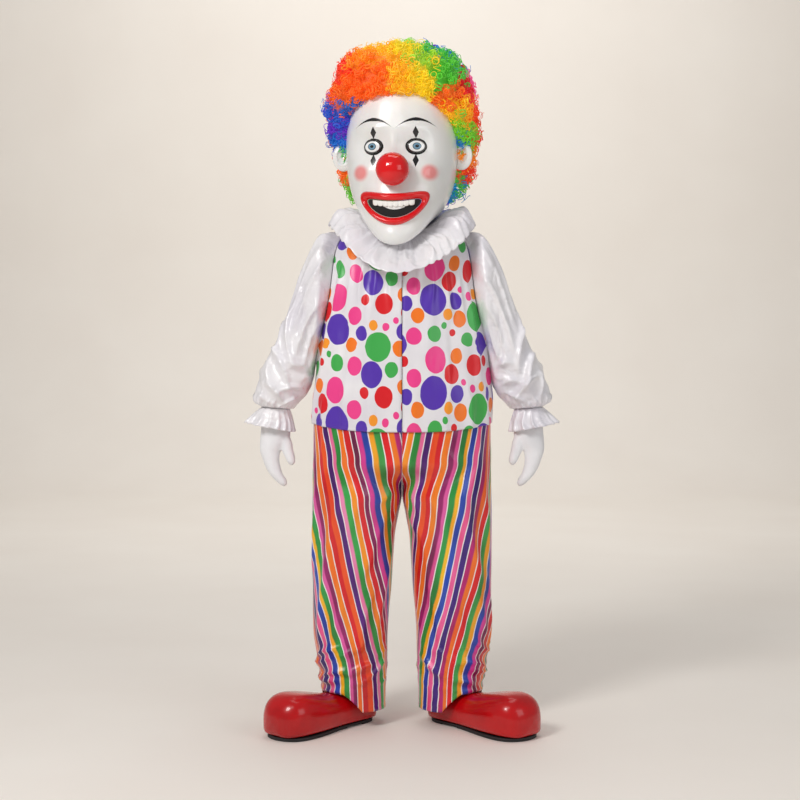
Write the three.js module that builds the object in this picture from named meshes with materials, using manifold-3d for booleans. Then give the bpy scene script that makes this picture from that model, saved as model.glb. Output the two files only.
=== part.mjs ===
// Clown costume as it is worn: a hard hollow head with a curly wig, a ruff, a spotted blouse with
// satin sleeves, gloves, striped trousers and big shoes. Millimetres, +Z up, +X to the wearer's left,
// the front faces -Y. Heights below are above the floor, and the whole costume hangs in one group
// whose origin is the middle of the wearer's shoulders.
import * as THREE from "three";
import { mergeVertices } from "three/addons/utils/BufferGeometryUtils.js";
import Module from "manifold-3d";

const wasm = await Module();
wasm.setup();

// Driving dimensions
const SHOULDER_HEIGHT = 1440;
const SATIN = 1.5;
const GLOVE_CLOTH = 1.2;
const ELASTIC = 3;
const HEAD_WALL = 3;
const SHOE_LEATHER = 2.6;
const SEAM = 0.3;
const HEAD_TURN_DEG = -8;
const HEAD_ROUND = 0.94;
const HEAD_SEAM_Y = 34;
const NOSE = { z: 1596, radius: 47, proud: 0.6 };
const RUFF_GATHERS = 40;
const CUFF_GATHERS = 16;
const TOOTH_COUNT = 8;
const SOLE_THICKNESS = 9.7;
const SHOE_TURNOUT_DEG = 45;
const ANKLE = { x: 146, y: -5 };
const CROTCH_HEIGHT = 666;
const CUFF_BREAK_HEIGHT = 205;
const TROUSER_HEM = 48;
const HEM_REST = 1.7;

// Head sections from the neck up: height at the side, front and back, and reach each way
const MASK = [
  { side: 1420, frontZ: 1408, backZ: 1428, half: 71.6, front: 71.6, back: 71.6 },
  { side: 1448, frontZ: 1441, backZ: 1455, half: 71.6, front: 71.6, back: 71.6 },
  { side: 1464, frontZ: 1418, backZ: 1470, half: 88, front: 110, back: 85 },
  { side: 1478, frontZ: 1388, backZ: 1484, half: 106, front: 152, back: 100 },
  { side: 1500, frontZ: 1404, backZ: 1506, half: 122, front: 168, back: 116 },
  { side: 1530, frontZ: 1446, backZ: 1542, half: 138, front: 172, back: 134 },
  { side: 1565, frontZ: 1508, backZ: 1586, half: 150, front: 172, back: 148 },
  { side: 1605, frontZ: 1574, backZ: 1632, half: 157, front: 168, back: 158 },
  { side: 1650, frontZ: 1640, backZ: 1676, half: 160, front: 163, back: 164 },
  { side: 1702, frontZ: 1706, backZ: 1722, half: 159, front: 162, back: 167 },
  { side: 1757, frontZ: 1766, backZ: 1770, half: 152, front: 155, back: 163 },
  { side: 1808, frontZ: 1820, backZ: 1816, half: 136, front: 138, back: 147 },
  { side: 1855, frontZ: 1862, backZ: 1858, half: 104, front: 104, back: 113 },
  { side: 1886, frontZ: 1889, backZ: 1887, half: 58, front: 58, back: 64 },
  { side: 1900, frontZ: 1900, backZ: 1900, half: 0, front: 0, back: 0 },
];

// Soft relief of the face, as humps that stand out of or sink into it, the same on both sides
const FACE_RELIEF = [
  { x: 60, z: 1716, wide: 46, high: 17, out: 8 },
  { x: 60, z: 1664, wide: 34, high: 26, out: -9 },
  { x: 98, z: 1592, wide: 38, high: 32, out: 11 },
  { x: 0, z: 1662, wide: 16, high: 40, out: 9 },
  { x: 0, z: 1500, wide: 74, high: 46, out: 8 },
  { x: 0, z: 1412, wide: 40, high: 22, out: 9 },
];
const EYE = { x: 60, z: 1662, radius: 25, flat: 0.8, rim: 4, dome: 8 };
const MOUTH = { z: 1486, half: 76, high: 23, lift: 24, lip: 21, lipRise: 9 };
const GAUZE = { low: -2.6, high: -1.1 };
const TEETH = { half: 58, drop: 15, rise: 3, bulge: 2.2, notch: 0.28, seat: -0.7 };
const EAR = { x: 172, y: 6, z: 1648, wide: 32, thick: 12, tall: 41, clear: 1 };
const EAR_DISH = { x: 181, y: -6, z: 1651, wide: 17, thick: 8, tall: 27 };
const EAR_TILT_DEG = -14;

// Edge of the hair: turn around its crown from front to nape, and how far down it reaches
const HAIR_EDGE = [104, 103, 104, 106, 107, 114, 129, 124, 116];
const HAIR = { y: 22, z: 1739, across: 208, deep: 206, up: 228, down: 246, power: 2.8, lobe: 9, tiltDeg: 40 };

// Ruff sections from the rim to the neck, at the front, side and back
const RUFF = [
  { front: 212, frontZ: 1309, side: 212, sideZ: 1452, back: 204, backZ: 1472, wave: 11 },
  { front: 178, frontZ: 1337, side: 176, sideZ: 1486, back: 172, backZ: 1497, wave: 9 },
  { front: 132, frontZ: 1374, side: 128, sideZ: 1481, back: 126, backZ: 1489, wave: 5 },
  { front: 74.6, frontZ: 1426.2, side: 74.6, sideZ: 1442.2, back: 74.6, backZ: 1450.1, wave: 0 },
];

// Blouse sections from the hem to the neck
const BODY = [
  { side: 886, frontZ: 862, backZ: 870, half: 260, front: 160, back: 151 },
  { side: 915, frontZ: 902, backZ: 906, half: 258.5, front: 161, back: 150 },
  { side: 960, frontZ: 956, backZ: 957, half: 256, front: 161, back: 148 },
  { side: 1010, frontZ: 1010, backZ: 1010, half: 250, front: 160, back: 145 },
  { side: 1060, frontZ: 1060, backZ: 1060, half: 244, front: 158, back: 143 },
  { side: 1104, frontZ: 1104, backZ: 1104, half: 238, front: 157, back: 142 },
  { side: 1150, frontZ: 1150, backZ: 1150, half: 232, front: 155, back: 143 },
  { side: 1200, frontZ: 1200, backZ: 1200, half: 226, front: 152, back: 144 },
  { side: 1250, frontZ: 1246, backZ: 1252, half: 220, front: 148, back: 144 },
  { side: 1300, frontZ: 1290, backZ: 1304, half: 213, front: 142, back: 141 },
  { side: 1350, frontZ: 1332, backZ: 1354, half: 203, front: 133, back: 133 },
  { side: 1395, frontZ: 1368, backZ: 1398, half: 187, front: 119, back: 120 },
  { side: 1426, frontZ: 1396, backZ: 1426, half: 160, front: 99, back: 102 },
  { side: 1437, frontZ: 1415, backZ: 1442, half: 116, front: 84, back: 85 },
  { side: 1440, frontZ: 1424, backZ: 1448, half: 74.2, front: 74.2, back: 74.2 },
];
const UNDERARM = 5;
const SHOULDER_POINT = 12;
const ARMHOLE_STEPS = 9;
const ARMHOLE_DEG = 20;
const BODY_ROUND = 0.86;
const NECK_ROUND = 1;

// Upright gathers of the blouse below the ruff: turn from the front, half width, depth
const BLOUSE_FOLDS = [
  { deg: 9, wide: 5, deep: 3.5 },
  { deg: 24, wide: 6, deep: 4.5 },
  { deg: 42, wide: 7, deep: 4 },
  { deg: 62, wide: 7, deep: 3.5 },
  { deg: 128, wide: 9, deep: 4 },
  { deg: 152, wide: 8, deep: 4.5 },
  { deg: 170, wide: 6, deep: 3 },
];

// Sleeve sections after the armhole: outer point, inner point, half depth and middle
const SLEEVE = [
  { outX: 160, outZ: 1426, inX: 238, inZ: 1104, deep: 90, y: 0 },
  { outX: 230, outZ: 1424, inX: 242.5, inZ: 1090, deep: 96, y: 2 },
  { outX: 282, outZ: 1340, inX: 247.5, inZ: 1062, deep: 90, y: 3 },
  { outX: 312, outZ: 1252, inX: 252, inZ: 1034, deep: 84, y: 2 },
  { outX: 342, outZ: 1172, inX: 257, inZ: 1006, deep: 80, y: 0 },
  { outX: 373, outZ: 1100, inX: 265, inZ: 980, deep: 79, y: -3 },
  { outX: 407, outZ: 1034, inX: 281, inZ: 954, deep: 79, y: -6 },
  { outX: 424, outZ: 978, inX: 303, inZ: 932, deep: 74, y: -8 },
  { outX: 425, outZ: 944, inX: 318, inZ: 921, deep: 58, y: -9 },
  { outX: 406.5, outZ: 927, inX: 326.5, inZ: 922, deep: 39, y: -10 },
];

// Large soft folds of the sleeves: place along, turn, half widths and depth
const SLEEVE_FOLDS = [
  { at: 2.4, deg: 235, long: 0.35, wide: 60, deep: 7 },
  { at: 3.6, deg: 290, long: 0.3, wide: 55, deep: 6 },
  { at: 4.7, deg: 225, long: 0.3, wide: 50, deep: 7 },
  { at: 5.8, deg: 285, long: 0.3, wide: 60, deep: 8 },
  { at: 6.9, deg: 230, long: 0.3, wide: 55, deep: 6 },
  { at: 3.0, deg: 80, long: 0.35, wide: 60, deep: 7 },
  { at: 4.4, deg: 120, long: 0.3, wide: 50, deep: 6 },
  { at: 5.9, deg: 75, long: 0.3, wide: 55, deep: 7 },
];
const WRIST = { x: 366.5, y: -10, z: 923.6 };
const CUFF = { x: 383, y: -12, z: 868, half: 71, deep: 60, tilt: 14, topHalf: 40.2, topDeep: 39.2, wave: 5.5 };

// Glove sections from the wrist to the fingertips
const GLOVE = [
  { z: 972, x: 364, y: -9, half: 36.5, deep: 36 },
  { z: 922, x: 366.5, y: -10, half: 38.2, deep: 37.2 },
  { z: 890, x: 367, y: -12, half: 40, deep: 33 },
  { z: 856, x: 366, y: -14, half: 43, deep: 30 },
  { z: 826, x: 370, y: -17, half: 41.5, deep: 28 },
  { z: 800, x: 381, y: -19, half: 30.5, deep: 25 },
  { z: 776, x: 379.5, y: -22, half: 24.5, deep: 23 },
  { z: 755, x: 374, y: -25, half: 22, deep: 21 },
  { z: 734, x: 365, y: -28, half: 19.5, deep: 19 },
  { z: 717, x: 352, y: -31, half: 17.5, deep: 16 },
  { z: 703, x: 343, y: -33, half: 11, deep: 10 },
  { z: 695, x: 341, y: -34, half: 0, deep: 0 },
];
const THUMB = [
  { z: 852, x: 345, y: -20, half: 14, deep: 16 },
  { z: 826, x: 336, y: -24, half: 17.5, deep: 17 },
  { z: 802, x: 331, y: -29, half: 17, deep: 16 },
  { z: 780, x: 323, y: -33, half: 14.5, deep: 14 },
  { z: 766, x: 319.5, y: -35, half: 11, deep: 11 },
  { z: 755, x: 319, y: -36, half: 0, deep: 0 },
];

// Trouser sections from the hem to the waist: outer and inner edge, reach to the front and back
const LEG = [
  { z: 40, out: 232, in: 48, front: 94, back: 96 },
  { z: 90, out: 233, in: 48, front: 96, back: 98 },
  { z: 125, out: 235, in: 47, front: 97, back: 100 },
  { z: 165, out: 241, in: 45, front: 100, back: 103 },
  { z: 205, out: 249, in: 43, front: 103, back: 107 },
  { z: 260, out: 258, in: 42, front: 105, back: 110 },
  { z: 330, out: 260, in: 38, front: 107, back: 112 },
  { z: 400, out: 260, in: 31, front: 110, back: 116 },
  { z: 480, out: 261, in: 26, front: 114, back: 120 },
  { z: 560, out: 261, in: 20, front: 120, back: 128 },
  { z: 620, out: 261, in: 9, front: 128, back: 137 },
  { z: 666, out: 260, in: 0.4, front: 137, back: 146 },
  { z: 720, out: 259, in: 0.4, front: 146, back: 150 },
  { z: 790, out: 258, in: 0.4, front: 152, back: 149 },
  { z: 850, out: 257, in: 0.4, front: 154, back: 146 },
  { z: 900, out: 256.4, in: 0.4, front: 153, back: 143 },
  { z: 940, out: 250, in: 0.4, front: 149, back: 140 },
  { z: 980, out: 238, in: 0.4, front: 140, back: 133 },
];
const WAISTBAND_HEIGHT = 34;
const BREAK_STEPS = 6;

// Bunched folds where the hem breaks on the shoe, and long soft folds of the leg
const BREAK_FOLDS = [
  { z: 108, high: 9, deg: 60, wide: 55, out: 5 },
  { z: 140, high: 10, deg: 80, wide: 65, out: 7 },
  { z: 178, high: 11, deg: 55, wide: 60, out: 6 },
  { z: 125, high: 10, deg: 200, wide: 55, out: 5 },
  { z: 168, high: 11, deg: 215, wide: 60, out: 6 },
];
const LEG_FOLDS = [
  { deg: -35, wide: 13, z: 470, high: 200, deep: 6 },
  { deg: 8, wide: 14, z: 420, high: 170, deep: 5 },
  { deg: 45, wide: 14, z: 540, high: 220, deep: 6 },
  { deg: 150, wide: 15, z: 480, high: 210, deep: 6 },
  { deg: 195, wide: 15, z: 400, high: 190, deep: 5 },
];

// Shoe sections from the heel to the toe: half width, underside and top
const SHOE = [
  { u: -80, half: 0, low: 52, top: 52 },
  { u: -77, half: 18, low: 18, top: 84 },
  { u: -68, half: 31, low: 10, top: 96 },
  { u: -48, half: 41, low: 10, top: 101 },
  { u: -15, half: 46, low: 10, top: 103 },
  { u: 25, half: 48, low: 10, top: 103 },
  { u: 70, half: 51, low: 10, top: 101 },
  { u: 115, half: 60, low: 10, top: 105 },
  { u: 160, half: 70, low: 10, top: 114 },
  { u: 205, half: 77, low: 10, top: 123 },
  { u: 245, half: 78, low: 10, top: 127 },
  { u: 275, half: 70, low: 10, top: 119 },
  { u: 296, half: 52, low: 12, top: 100 },
  { u: 307, half: 28, low: 25, top: 78 },
  { u: 311, half: 0, low: 52, top: 52 },
];
const SHOE_WIDEST = 0.42;
const SHOE_ROUND = { across: 0.8, top: 0.85, under: 0.36 };
const VAMP_SEAM_U = 64;
const COUNTER_SEAM_U = -4;
const COLLAR = { long: 52, wide: 35, z: 80, tall: 60 };
// The sole lies a little inside the upper's outline, and is drawn in about its middle
const SOLE = { inset: 7, middle: 105, share: 0.95 };
const ARCH = { from: -8, to: 60, rise: 4 };

const { PI, abs, asin, cos, exp, hypot, max, min, pow, sign, sin, sqrt } = Math;
const TURN = 2 * PI;
const vec = (x, y, z) => new THREE.Vector3(x, y, z);
const rad = (deg) => (deg * PI) / 180;
const mix = (a, b, t) => a + (b - a) * t;
const hump = (x, wide) => exp(-((x / wide) ** 2));
const bend = (x, power) => sign(x) * pow(abs(x), power);

function ease(from, to, x) {
  const t = min(1, max(0, (x - from) / (to - from)));
  return t * t * (3 - 2 * t);
}

// Smooth value of one column of a table between its rows
function column(rows, key, t) {
  const last = rows.length - 1;
  const i = min(last - 1, max(0, Math.floor(t)));
  const f = t - i;
  const value = (k) => (key === null ? rows[k] : rows[k][key]);
  const b = value(i);
  const c = value(i + 1);
  const a = i > 0 ? value(i - 1) : 2 * b - c;
  const d = i < last - 1 ? value(i + 2) : 2 * c - b;
  const slope = (c - a) * 0.5;
  const slopeNext = (d - b) * 0.5;
  const f2 = f * f;
  const f3 = f2 * f;
  return (
    b * (2 * f3 - 3 * f2 + 1) + slope * (f3 - 2 * f2 + f) + c * (3 * f2 - 2 * f3) + slopeNext * (f3 - f2)
  );
}

// Place of a value in a table's rising column
function placeOf(rows, key, value) {
  let i = 0;
  while (i < rows.length - 2 && rows[i + 1][key] < value) {
    i += 1;
  }
  return i + (value - rows[i][key]) / (rows[i + 1][key] - rows[i][key]);
}

// Angle between a turn and a fold's own turn
function turnFrom(deg, foldDeg) {
  return ((((deg - foldDeg + 180) % 360) + 360) % 360) - 180;
}

// Outward direction of a surface at(u, v)
function outward(at, u, v) {
  const step = 1e-3;
  const low = max(0, v - step);
  const high = min(1, v + step);
  const across = at(u + step, v).sub(at(u - step, v));
  const up = at(u, high).sub(at(u, low));
  const n = across.cross(up);
  return n.length() < 1e-9 ? null : n.normalize();
}

// A closed solid between two grids of points. Round grids join in u; a tip draws v = 1, a toe draws
// v = 0 to one point. A mirrored one is its reflection in x.
function between(outerAt, innerAt, columns, rows, options = {}) {
  const { round = false, tip = false, toe = false, mirror = false } = options;
  const wide = round ? columns : columns + 1;
  const position = [];
  const index = [];
  const ids = new Map();
  const id = (layer, i, j) => {
    const single = (tip && j === rows) || (toe && j === 0);
    const key = `${layer} ${single ? 0 : i % wide} ${j}`;
    if (!ids.has(key)) {
      const p = (layer ? innerAt : outerAt)((single ? 0 : i % wide) / columns, j / rows);
      ids.set(key, position.length / 3);
      position.push(mirror ? -p.x : p.x, p.y, p.z);
    }
    return ids.get(key);
  };
  const triangle = (a, b, c) => {
    if (a !== b && b !== c && c !== a) {
      index.push(a, mirror ? c : b, mirror ? b : c);
    }
  };
  const quad = (a, b, c, d) => {
    triangle(a, b, c);
    triangle(a, c, d);
  };
  for (let j = 0; j < rows; j += 1) {
    for (let i = 0; i < columns; i += 1) {
      quad(id(0, i, j), id(0, i + 1, j), id(0, i + 1, j + 1), id(0, i, j + 1));
      const a = id(1, i, j);
      const c = id(1, i + 1, j + 1);
      triangle(a, c, id(1, i + 1, j));
      triangle(a, id(1, i, j + 1), c);
    }
  }
  for (let i = 0; i < columns; i += 1) {
    if (!toe) {
      quad(id(0, i + 1, 0), id(0, i, 0), id(1, i, 0), id(1, i + 1, 0));
    }
    if (!tip) {
      quad(id(0, i, rows), id(0, i + 1, rows), id(1, i + 1, rows), id(1, i, rows));
    }
  }
  for (let j = 0; j < rows && !round; j += 1) {
    quad(id(0, 0, j), id(0, 0, j + 1), id(1, 0, j + 1), id(1, 0, j));
    quad(id(0, columns, j + 1), id(0, columns, j), id(1, columns, j), id(1, columns, j + 1));
  }
  const geometry = new THREE.BufferGeometry();
  geometry.setAttribute("position", new THREE.Float32BufferAttribute(position, 3));
  geometry.setIndex(index);
  return geometry;
}

// A wall or a raised piece that follows a surface, from one offset to another
function layer(at, columns, rows, low, high, options = {}) {
  const offset = (amount) => (u, v) => {
    const n = outward(at, u, v) ?? outward(at, u, v - 0.02) ?? outward(at, u, v + 0.02);
    return at(u, v).addScaledVector(n, typeof amount === "number" ? amount : amount(u, v));
  };
  return between(offset(high), offset(low), columns, rows, options);
}

// A closed solid filled inside a surface, grown by a little
function filled(at, columns, rows, grow, options = {}) {
  const { toe = false } = options;
  const floor = toe ? null : (u) => at(u, 0);
  const heart = vec(0, 0, 0);
  for (let i = 0; i < columns; i += 1) {
    heart.addScaledVector(at(i / columns, toe ? 0.5 : 0), 1 / columns);
  }
  const position = [];
  const index = [];
  const start = [];
  for (let j = 0; j <= rows; j += 1) {
    start.push(position.length / 3);
    const single = j === rows || (toe && j === 0);
    for (let i = 0; i < (single ? 1 : columns); i += 1) {
      const u = i / columns;
      const v = j / rows;
      let n = outward(at, u, v);
      if (single) {
        n = at(u, v).sub(heart).normalize();
      }
      const p = at(u, v).addScaledVector(n, grow);
      position.push(p.x, p.y, p.z);
    }
  }
  const id = (i, j) => start[j] + ((j === rows || (toe && j === 0)) ? 0 : i % columns);
  const triangle = (a, b, c) => {
    if (a !== b && b !== c && c !== a) {
      index.push(a, b, c);
    }
  };
  for (let j = 0; j < rows; j += 1) {
    for (let i = 0; i < columns; i += 1) {
      triangle(id(i, j), id(i + 1, j), id(i + 1, j + 1));
      triangle(id(i, j), id(i + 1, j + 1), id(i, j + 1));
    }
  }
  if (floor) {
    const centre = position.length / 3;
    position.push(heart.x, heart.y, heart.z);
    for (let i = 0; i < columns; i += 1) {
      index.push(centre, id(i + 1, 0), id(i, 0));
    }
  }
  const geometry = new THREE.BufferGeometry();
  geometry.setAttribute("position", new THREE.Float32BufferAttribute(position, 3));
  geometry.setIndex(index);
  return geometry;
}

// A geometry as a solid for cutting and joining, and back
function solid(geometry) {
  const bare = geometry.clone();
  bare.deleteAttribute("normal");
  bare.deleteAttribute("uv");
  const merged = mergeVertices(bare, 1e-4);
  return new wasm.Manifold(
    new wasm.Mesh({
      numProp: 3,
      vertProperties: new Float32Array(merged.attributes.position.array),
      triVerts: new Uint32Array(merged.index.array),
    }),
  );
}

function shaped(manifold) {
  const mesh = manifold.getMesh();
  const geometry = new THREE.BufferGeometry();
  geometry.setAttribute("position", new THREE.Float32BufferAttribute(mesh.vertProperties, mesh.numProp));
  geometry.setIndex(Array.from(mesh.triVerts));
  return geometry;
}

// A point on a closed ring: deg 0 is the front, 90 the wearer's left, 180 the back
function ringPoint(row, deg, power) {
  const s = sin(rad(deg));
  const c = cos(rad(deg));
  const forward = c > 0;
  const reach = forward ? row.front : row.back;
  const height = forward ? row.frontZ : row.backZ;
  return vec(row.half * bend(s, power), -reach * bend(c, power), mix(row.side, height, c * c));
}

function rowAt(rows, t) {
  const row = {};
  for (const key of Object.keys(rows[0])) {
    row[key] = column(rows, key, t);
  }
  return row;
}

const cotton = (colour, roughness) =>
  new THREE.MeshStandardMaterial({ color: colour, roughness, metalness: 0 });
const MATERIALS = {
  maskWhite: cotton(0xf1efec, 0.28),
  glossRed: cotton(0xc8101c, 0.18),
  eyeWhite: cotton(0xdadfe0, 0.12),
  tooth: cotton(0xf4f1e6, 0.25),
  gauze: cotton(0x0c0b0c, 0.85),
  hair: cotton(0xe98a2b, 0.8),
  whiteSatin: cotton(0xf4f2f0, 0.42),
  spottedSatin: cotton(0xefe6ea, 0.45),
  stripedSatin: cotton(0xc9573f, 0.4),
  elasticBand: cotton(0xe9e6e2, 0.8),
  gloveCotton: cotton(0xf2f1ef, 0.75),
  shoeRed: cotton(0xb90f18, 0.16),
  soleBlack: cotton(0x1b1a1b, 0.7),
};

const costume = new THREE.Group();
costume.position.z = -SHOULDER_HEIGHT;
const head = new THREE.Group();
head.rotation.z = rad(HEAD_TURN_DEG);
costume.add(head);

function piece(name, geometry, material, parent = costume) {
  const mesh = new THREE.Mesh(geometry, material);
  mesh.name = name;
  parent.add(mesh);
  return mesh;
}

// Head
const MASK_COLUMNS = 24;
const MOUTH_COLUMNS = 18;
const MASK_ROWS = 14;

function maskPoint(deg, t) {
  const p = ringPoint(rowAt(MASK, t), deg, HEAD_ROUND);
  if (cos(rad(deg)) > 0) {
    for (const { x, z, wide, high, out } of FACE_RELIEF) {
      const fade = ease(0.05, 0.35, cos(rad(deg))) * ease(2, 3, t);
      p.y -= out * fade * hump(abs(p.x) - x, wide) * hump(p.z - z, high);
    }
  }
  return p;
}

const maskAt = (u, v) => maskPoint(u * 360, v * (MASK.length - 1));

// The point of the face that lies at x and z
function facePoint(x, z) {
  let low = 2;
  let high = MASK.length - 1.2;
  let deg = 0;
  for (let i = 0; i < 26; i += 1) {
    const t = (low + high) / 2;
    const row = rowAt(MASK, t);
    deg = (asin(bend(max(-1, min(1, x / row.half)), 1 / HEAD_ROUND)) * 180) / PI;
    if (ringPoint(row, deg, HEAD_ROUND).z < z) {
      low = t;
    } else {
      high = t;
    }
  }
  return maskPoint(deg, (low + high) / 2);
}

// A round patch of the face about a middle, from its edge at v = 0 to the middle at v = 1
const patch = (centreX, centreZ, wide, high) => (u, v) => {
  const r = 1 - v;
  return facePoint(centreX + wide * r * cos(u * TURN), centreZ + high * r * sin(u * TURN));
};

// The mouth: its edge curve grown by a width in millimetres, scaled towards its middle
function mouthPoint(u, grow, scale) {
  const x = (MOUTH.half + grow) * scale * cos(u * TURN);
  const rise = MOUTH.lift * (x / MOUTH.half) ** 2;
  return facePoint(x, MOUTH.z + rise + (MOUTH.high + grow) * scale * sin(u * TURN));
}

function makeMask() {
  const shell = solid(
    layer(maskAt, MASK_COLUMNS, MASK_ROWS, -HEAD_WALL, 0, { round: true, tip: true }),
  );
  const hole = solid(
    layer((u, v) => mouthPoint(u, 0, 1 - v), MOUTH_COLUMNS, 2, -4 * HEAD_WALL, 3 * HEAD_WALL, {
      round: true,
      tip: true,
    }),
  );
  const face = shell.trimByPlane([0, -1, 0], -HEAD_SEAM_Y + SEAM / 2).subtract(hole);
  const back = shell.trimByPlane([0, 1, 0], HEAD_SEAM_Y + SEAM / 2);
  piece("mask_face", shaped(face), MATERIALS.maskWhite, head);
  piece("mask_back", shaped(back), MATERIALS.maskWhite, head);
}

function makeMouth(seat) {
  const lips = layer(
    (u, v) => mouthPoint(u, mix(MOUTH.lip, 0.6, v), 1),
    20,
    2,
    -2,
    (u, v) => 1.6 + MOUTH.lipRise * sin(PI * v),
    { round: true },
  );
  piece("lips", shaped(solid(lips).subtract(seat)), MATERIALS.glossRed, head);
  const gauzeAt = (u, v) => mouthPoint(u, -2 * SEAM, 1 - v);
  const gauze = layer(gauzeAt, MOUTH_COLUMNS, 2, GAUZE.low, GAUZE.high, { round: true, tip: true });
  piece("mouth_gauze", gauze, MATERIALS.gauze, head);
  const row = layer(
    (u, v) => {
      const x = mix(-TEETH.half, TEETH.half, u);
      const r = x / MOUTH.half;
      const edge = MOUTH.z + MOUTH.lift * r * r + MOUTH.high * sqrt(1 - r * r) - 2;
      const notch = 1 - TEETH.notch + TEETH.notch * sqrt(abs(sin(PI * TOOTH_COUNT * u)));
      return facePoint(x, edge - (1 - v) * TEETH.drop * notch);
    },
    TOOTH_COUNT * 3,
    1,
    TEETH.seat,
    (u) => TEETH.rise + TEETH.bulge * abs(sin(PI * TOOTH_COUNT * u)),
  );
  piece("teeth", row, MATERIALS.tooth, head);
}

function makeFaceParts(seat) {
  const root = facePoint(0, NOSE.z);
  const ball = new THREE.SphereGeometry(NOSE.radius, 16, 10);
  ball.translate(root.x, root.y - NOSE.radius * NOSE.proud, root.z);
  piece("nose", shaped(solid(ball).subtract(seat)), MATERIALS.glossRed, head);
  const ears = [];
  for (const [name, side] of [["left", 1], ["right", -1]]) {
    const eye = layer(
      patch(side * EYE.x, EYE.z, EYE.radius, EYE.radius * EYE.flat),
      12,
      2,
      -3,
      (u, v) => EYE.rim + EYE.dome * sqrt(1 - (1 - v) ** 2),
      { round: true, tip: true },
    );
    piece(`eye_${name}`, shaped(solid(eye).subtract(seat)), MATERIALS.eyeWhite, head);
    const earForm = ({ x, y, z, wide, thick, tall }, grow, columns, rows) => {
      const form = new THREE.SphereGeometry(1, columns, rows);
      form.scale(wide + grow, thick + grow, tall + grow);
      form.rotateZ(side * rad(EAR_TILT_DEG));
      form.translate(side * x, y, z);
      return solid(form);
    };
    const ear = earForm(EAR, 0, 10, 6).subtract(earForm(EAR_DISH, 0, 8, 5)).subtract(seat);
    piece(`ear_${name}`, shaped(ear), MATERIALS.maskWhite, head);
    ears.push(earForm(EAR, EAR.clear, 10, 6));
  }
  makeWig(seat, ears);
}

// Direction of a point of the hair: down from its crown, then around from the front
function hairDirection(down, around) {
  const lean = rad(HAIR.tiltDeg);
  const c = cos(down);
  const s = sin(down);
  const ahead = s * cos(around);
  return vec(
    s * sin(around),
    c * sin(lean) - ahead * cos(lean),
    c * cos(lean) + ahead * sin(lean),
  );
}

function makeWig(seat, ears) {
  const surface = (depth) => (u, v) => {
    const around = u * TURN;
    const edge = column(HAIR_EDGE, null, (1 - abs(1 - 2 * u)) * (HAIR_EDGE.length - 1));
    const d = hairDirection(rad(edge) * (1 - v), around);
    const shares = [d.x / HAIR.across, d.y / HAIR.deep, d.z / (d.z > 0 ? HAIR.up : HAIR.down)];
    const plain = pow(shares.reduce((sum, share) => sum + pow(abs(share), HAIR.power), 0), -1 / HAIR.power);
    const tuft = HAIR.lobe * sin(6 * d.x + 1) * cos(7 * d.z + 4 * d.y) + 0.4 * HAIR.lobe * sin(11 * d.y);
    return vec(0, HAIR.y, HAIR.z).addScaledVector(d, (plain + tuft) * depth);
  };
  const form = between(surface(1), surface(0.3), 24, 9, { round: true, tip: true });
  let wig = solid(form).subtract(seat);
  for (const ear of ears) {
    wig = wig.subtract(ear);
  }
  piece("wig", shaped(wig), MATERIALS.hair, head);
}

// Ruff
function makeRuff() {
  const at = (u, v) => {
    const row = rowAt(RUFF, v < 0.5 ? v * 2.3 : mix(1.15, RUFF.length - 1, 2 * v - 1));
    const p = ringPoint(
      { ...row, half: row.side, side: row.sideZ },
      u * 360,
      1,
    );
    p.z += row.wave * sin(RUFF_GATHERS * u * TURN);
    return p;
  };
  piece("ruff", layer(at, RUFF_GATHERS * 3, 2, -SATIN, 0, { round: true }), MATERIALS.whiteSatin);
}

// Blouse
const BODY_STOPS = [0, 1, 2.3, 3.7, UNDERARM];
for (let i = 1; i <= ARMHOLE_STEPS; i += 1) {
  BODY_STOPS.push(mix(UNDERARM, SHOULDER_POINT, i / ARMHOLE_STEPS));
}
BODY_STOPS.push(13, 14);

function bodyPoint(deg, t) {
  const power = mix(BODY_ROUND, NECK_ROUND, ease(SHOULDER_POINT - 2, BODY.length - 1, t));
  const p = ringPoint(rowAt(BODY, t), deg, power);
  p.z -= 6 * sin(rad(deg)) * (1 - ease(0, 2, t));
  const turn = abs(turnFrom(deg, 0));
  let sink = 0;
  for (const fold of BLOUSE_FOLDS) {
    sink += fold.deep * hump(turn - fold.deg, fold.wide);
  }
  const near = ease(2, 9, t) * (1 - ease(12, 14, t)) + 0.35 * (1 - ease(0, 3, t));
  const inwards = 1 - (sink * near) / hypot(p.x, p.y);
  p.x *= inwards;
  p.y *= inwards;
  return p;
}

// How far round the body its front panel reaches at a section
function armholeDeg(t) {
  const span = (t - UNDERARM) / (SHOULDER_POINT - UNDERARM);
  return span <= 0 || span >= 1 ? 90 : 90 - ARMHOLE_DEG * pow(sin(PI * span), 0.7);
}

// Place along the body's sections, straight between the stops
function bodyStop(v) {
  const place = v * (BODY_STOPS.length - 1);
  const i = min(BODY_STOPS.length - 2, Math.floor(place + 1e-9));
  return mix(BODY_STOPS[i], BODY_STOPS[i + 1], place - i);
}

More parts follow.
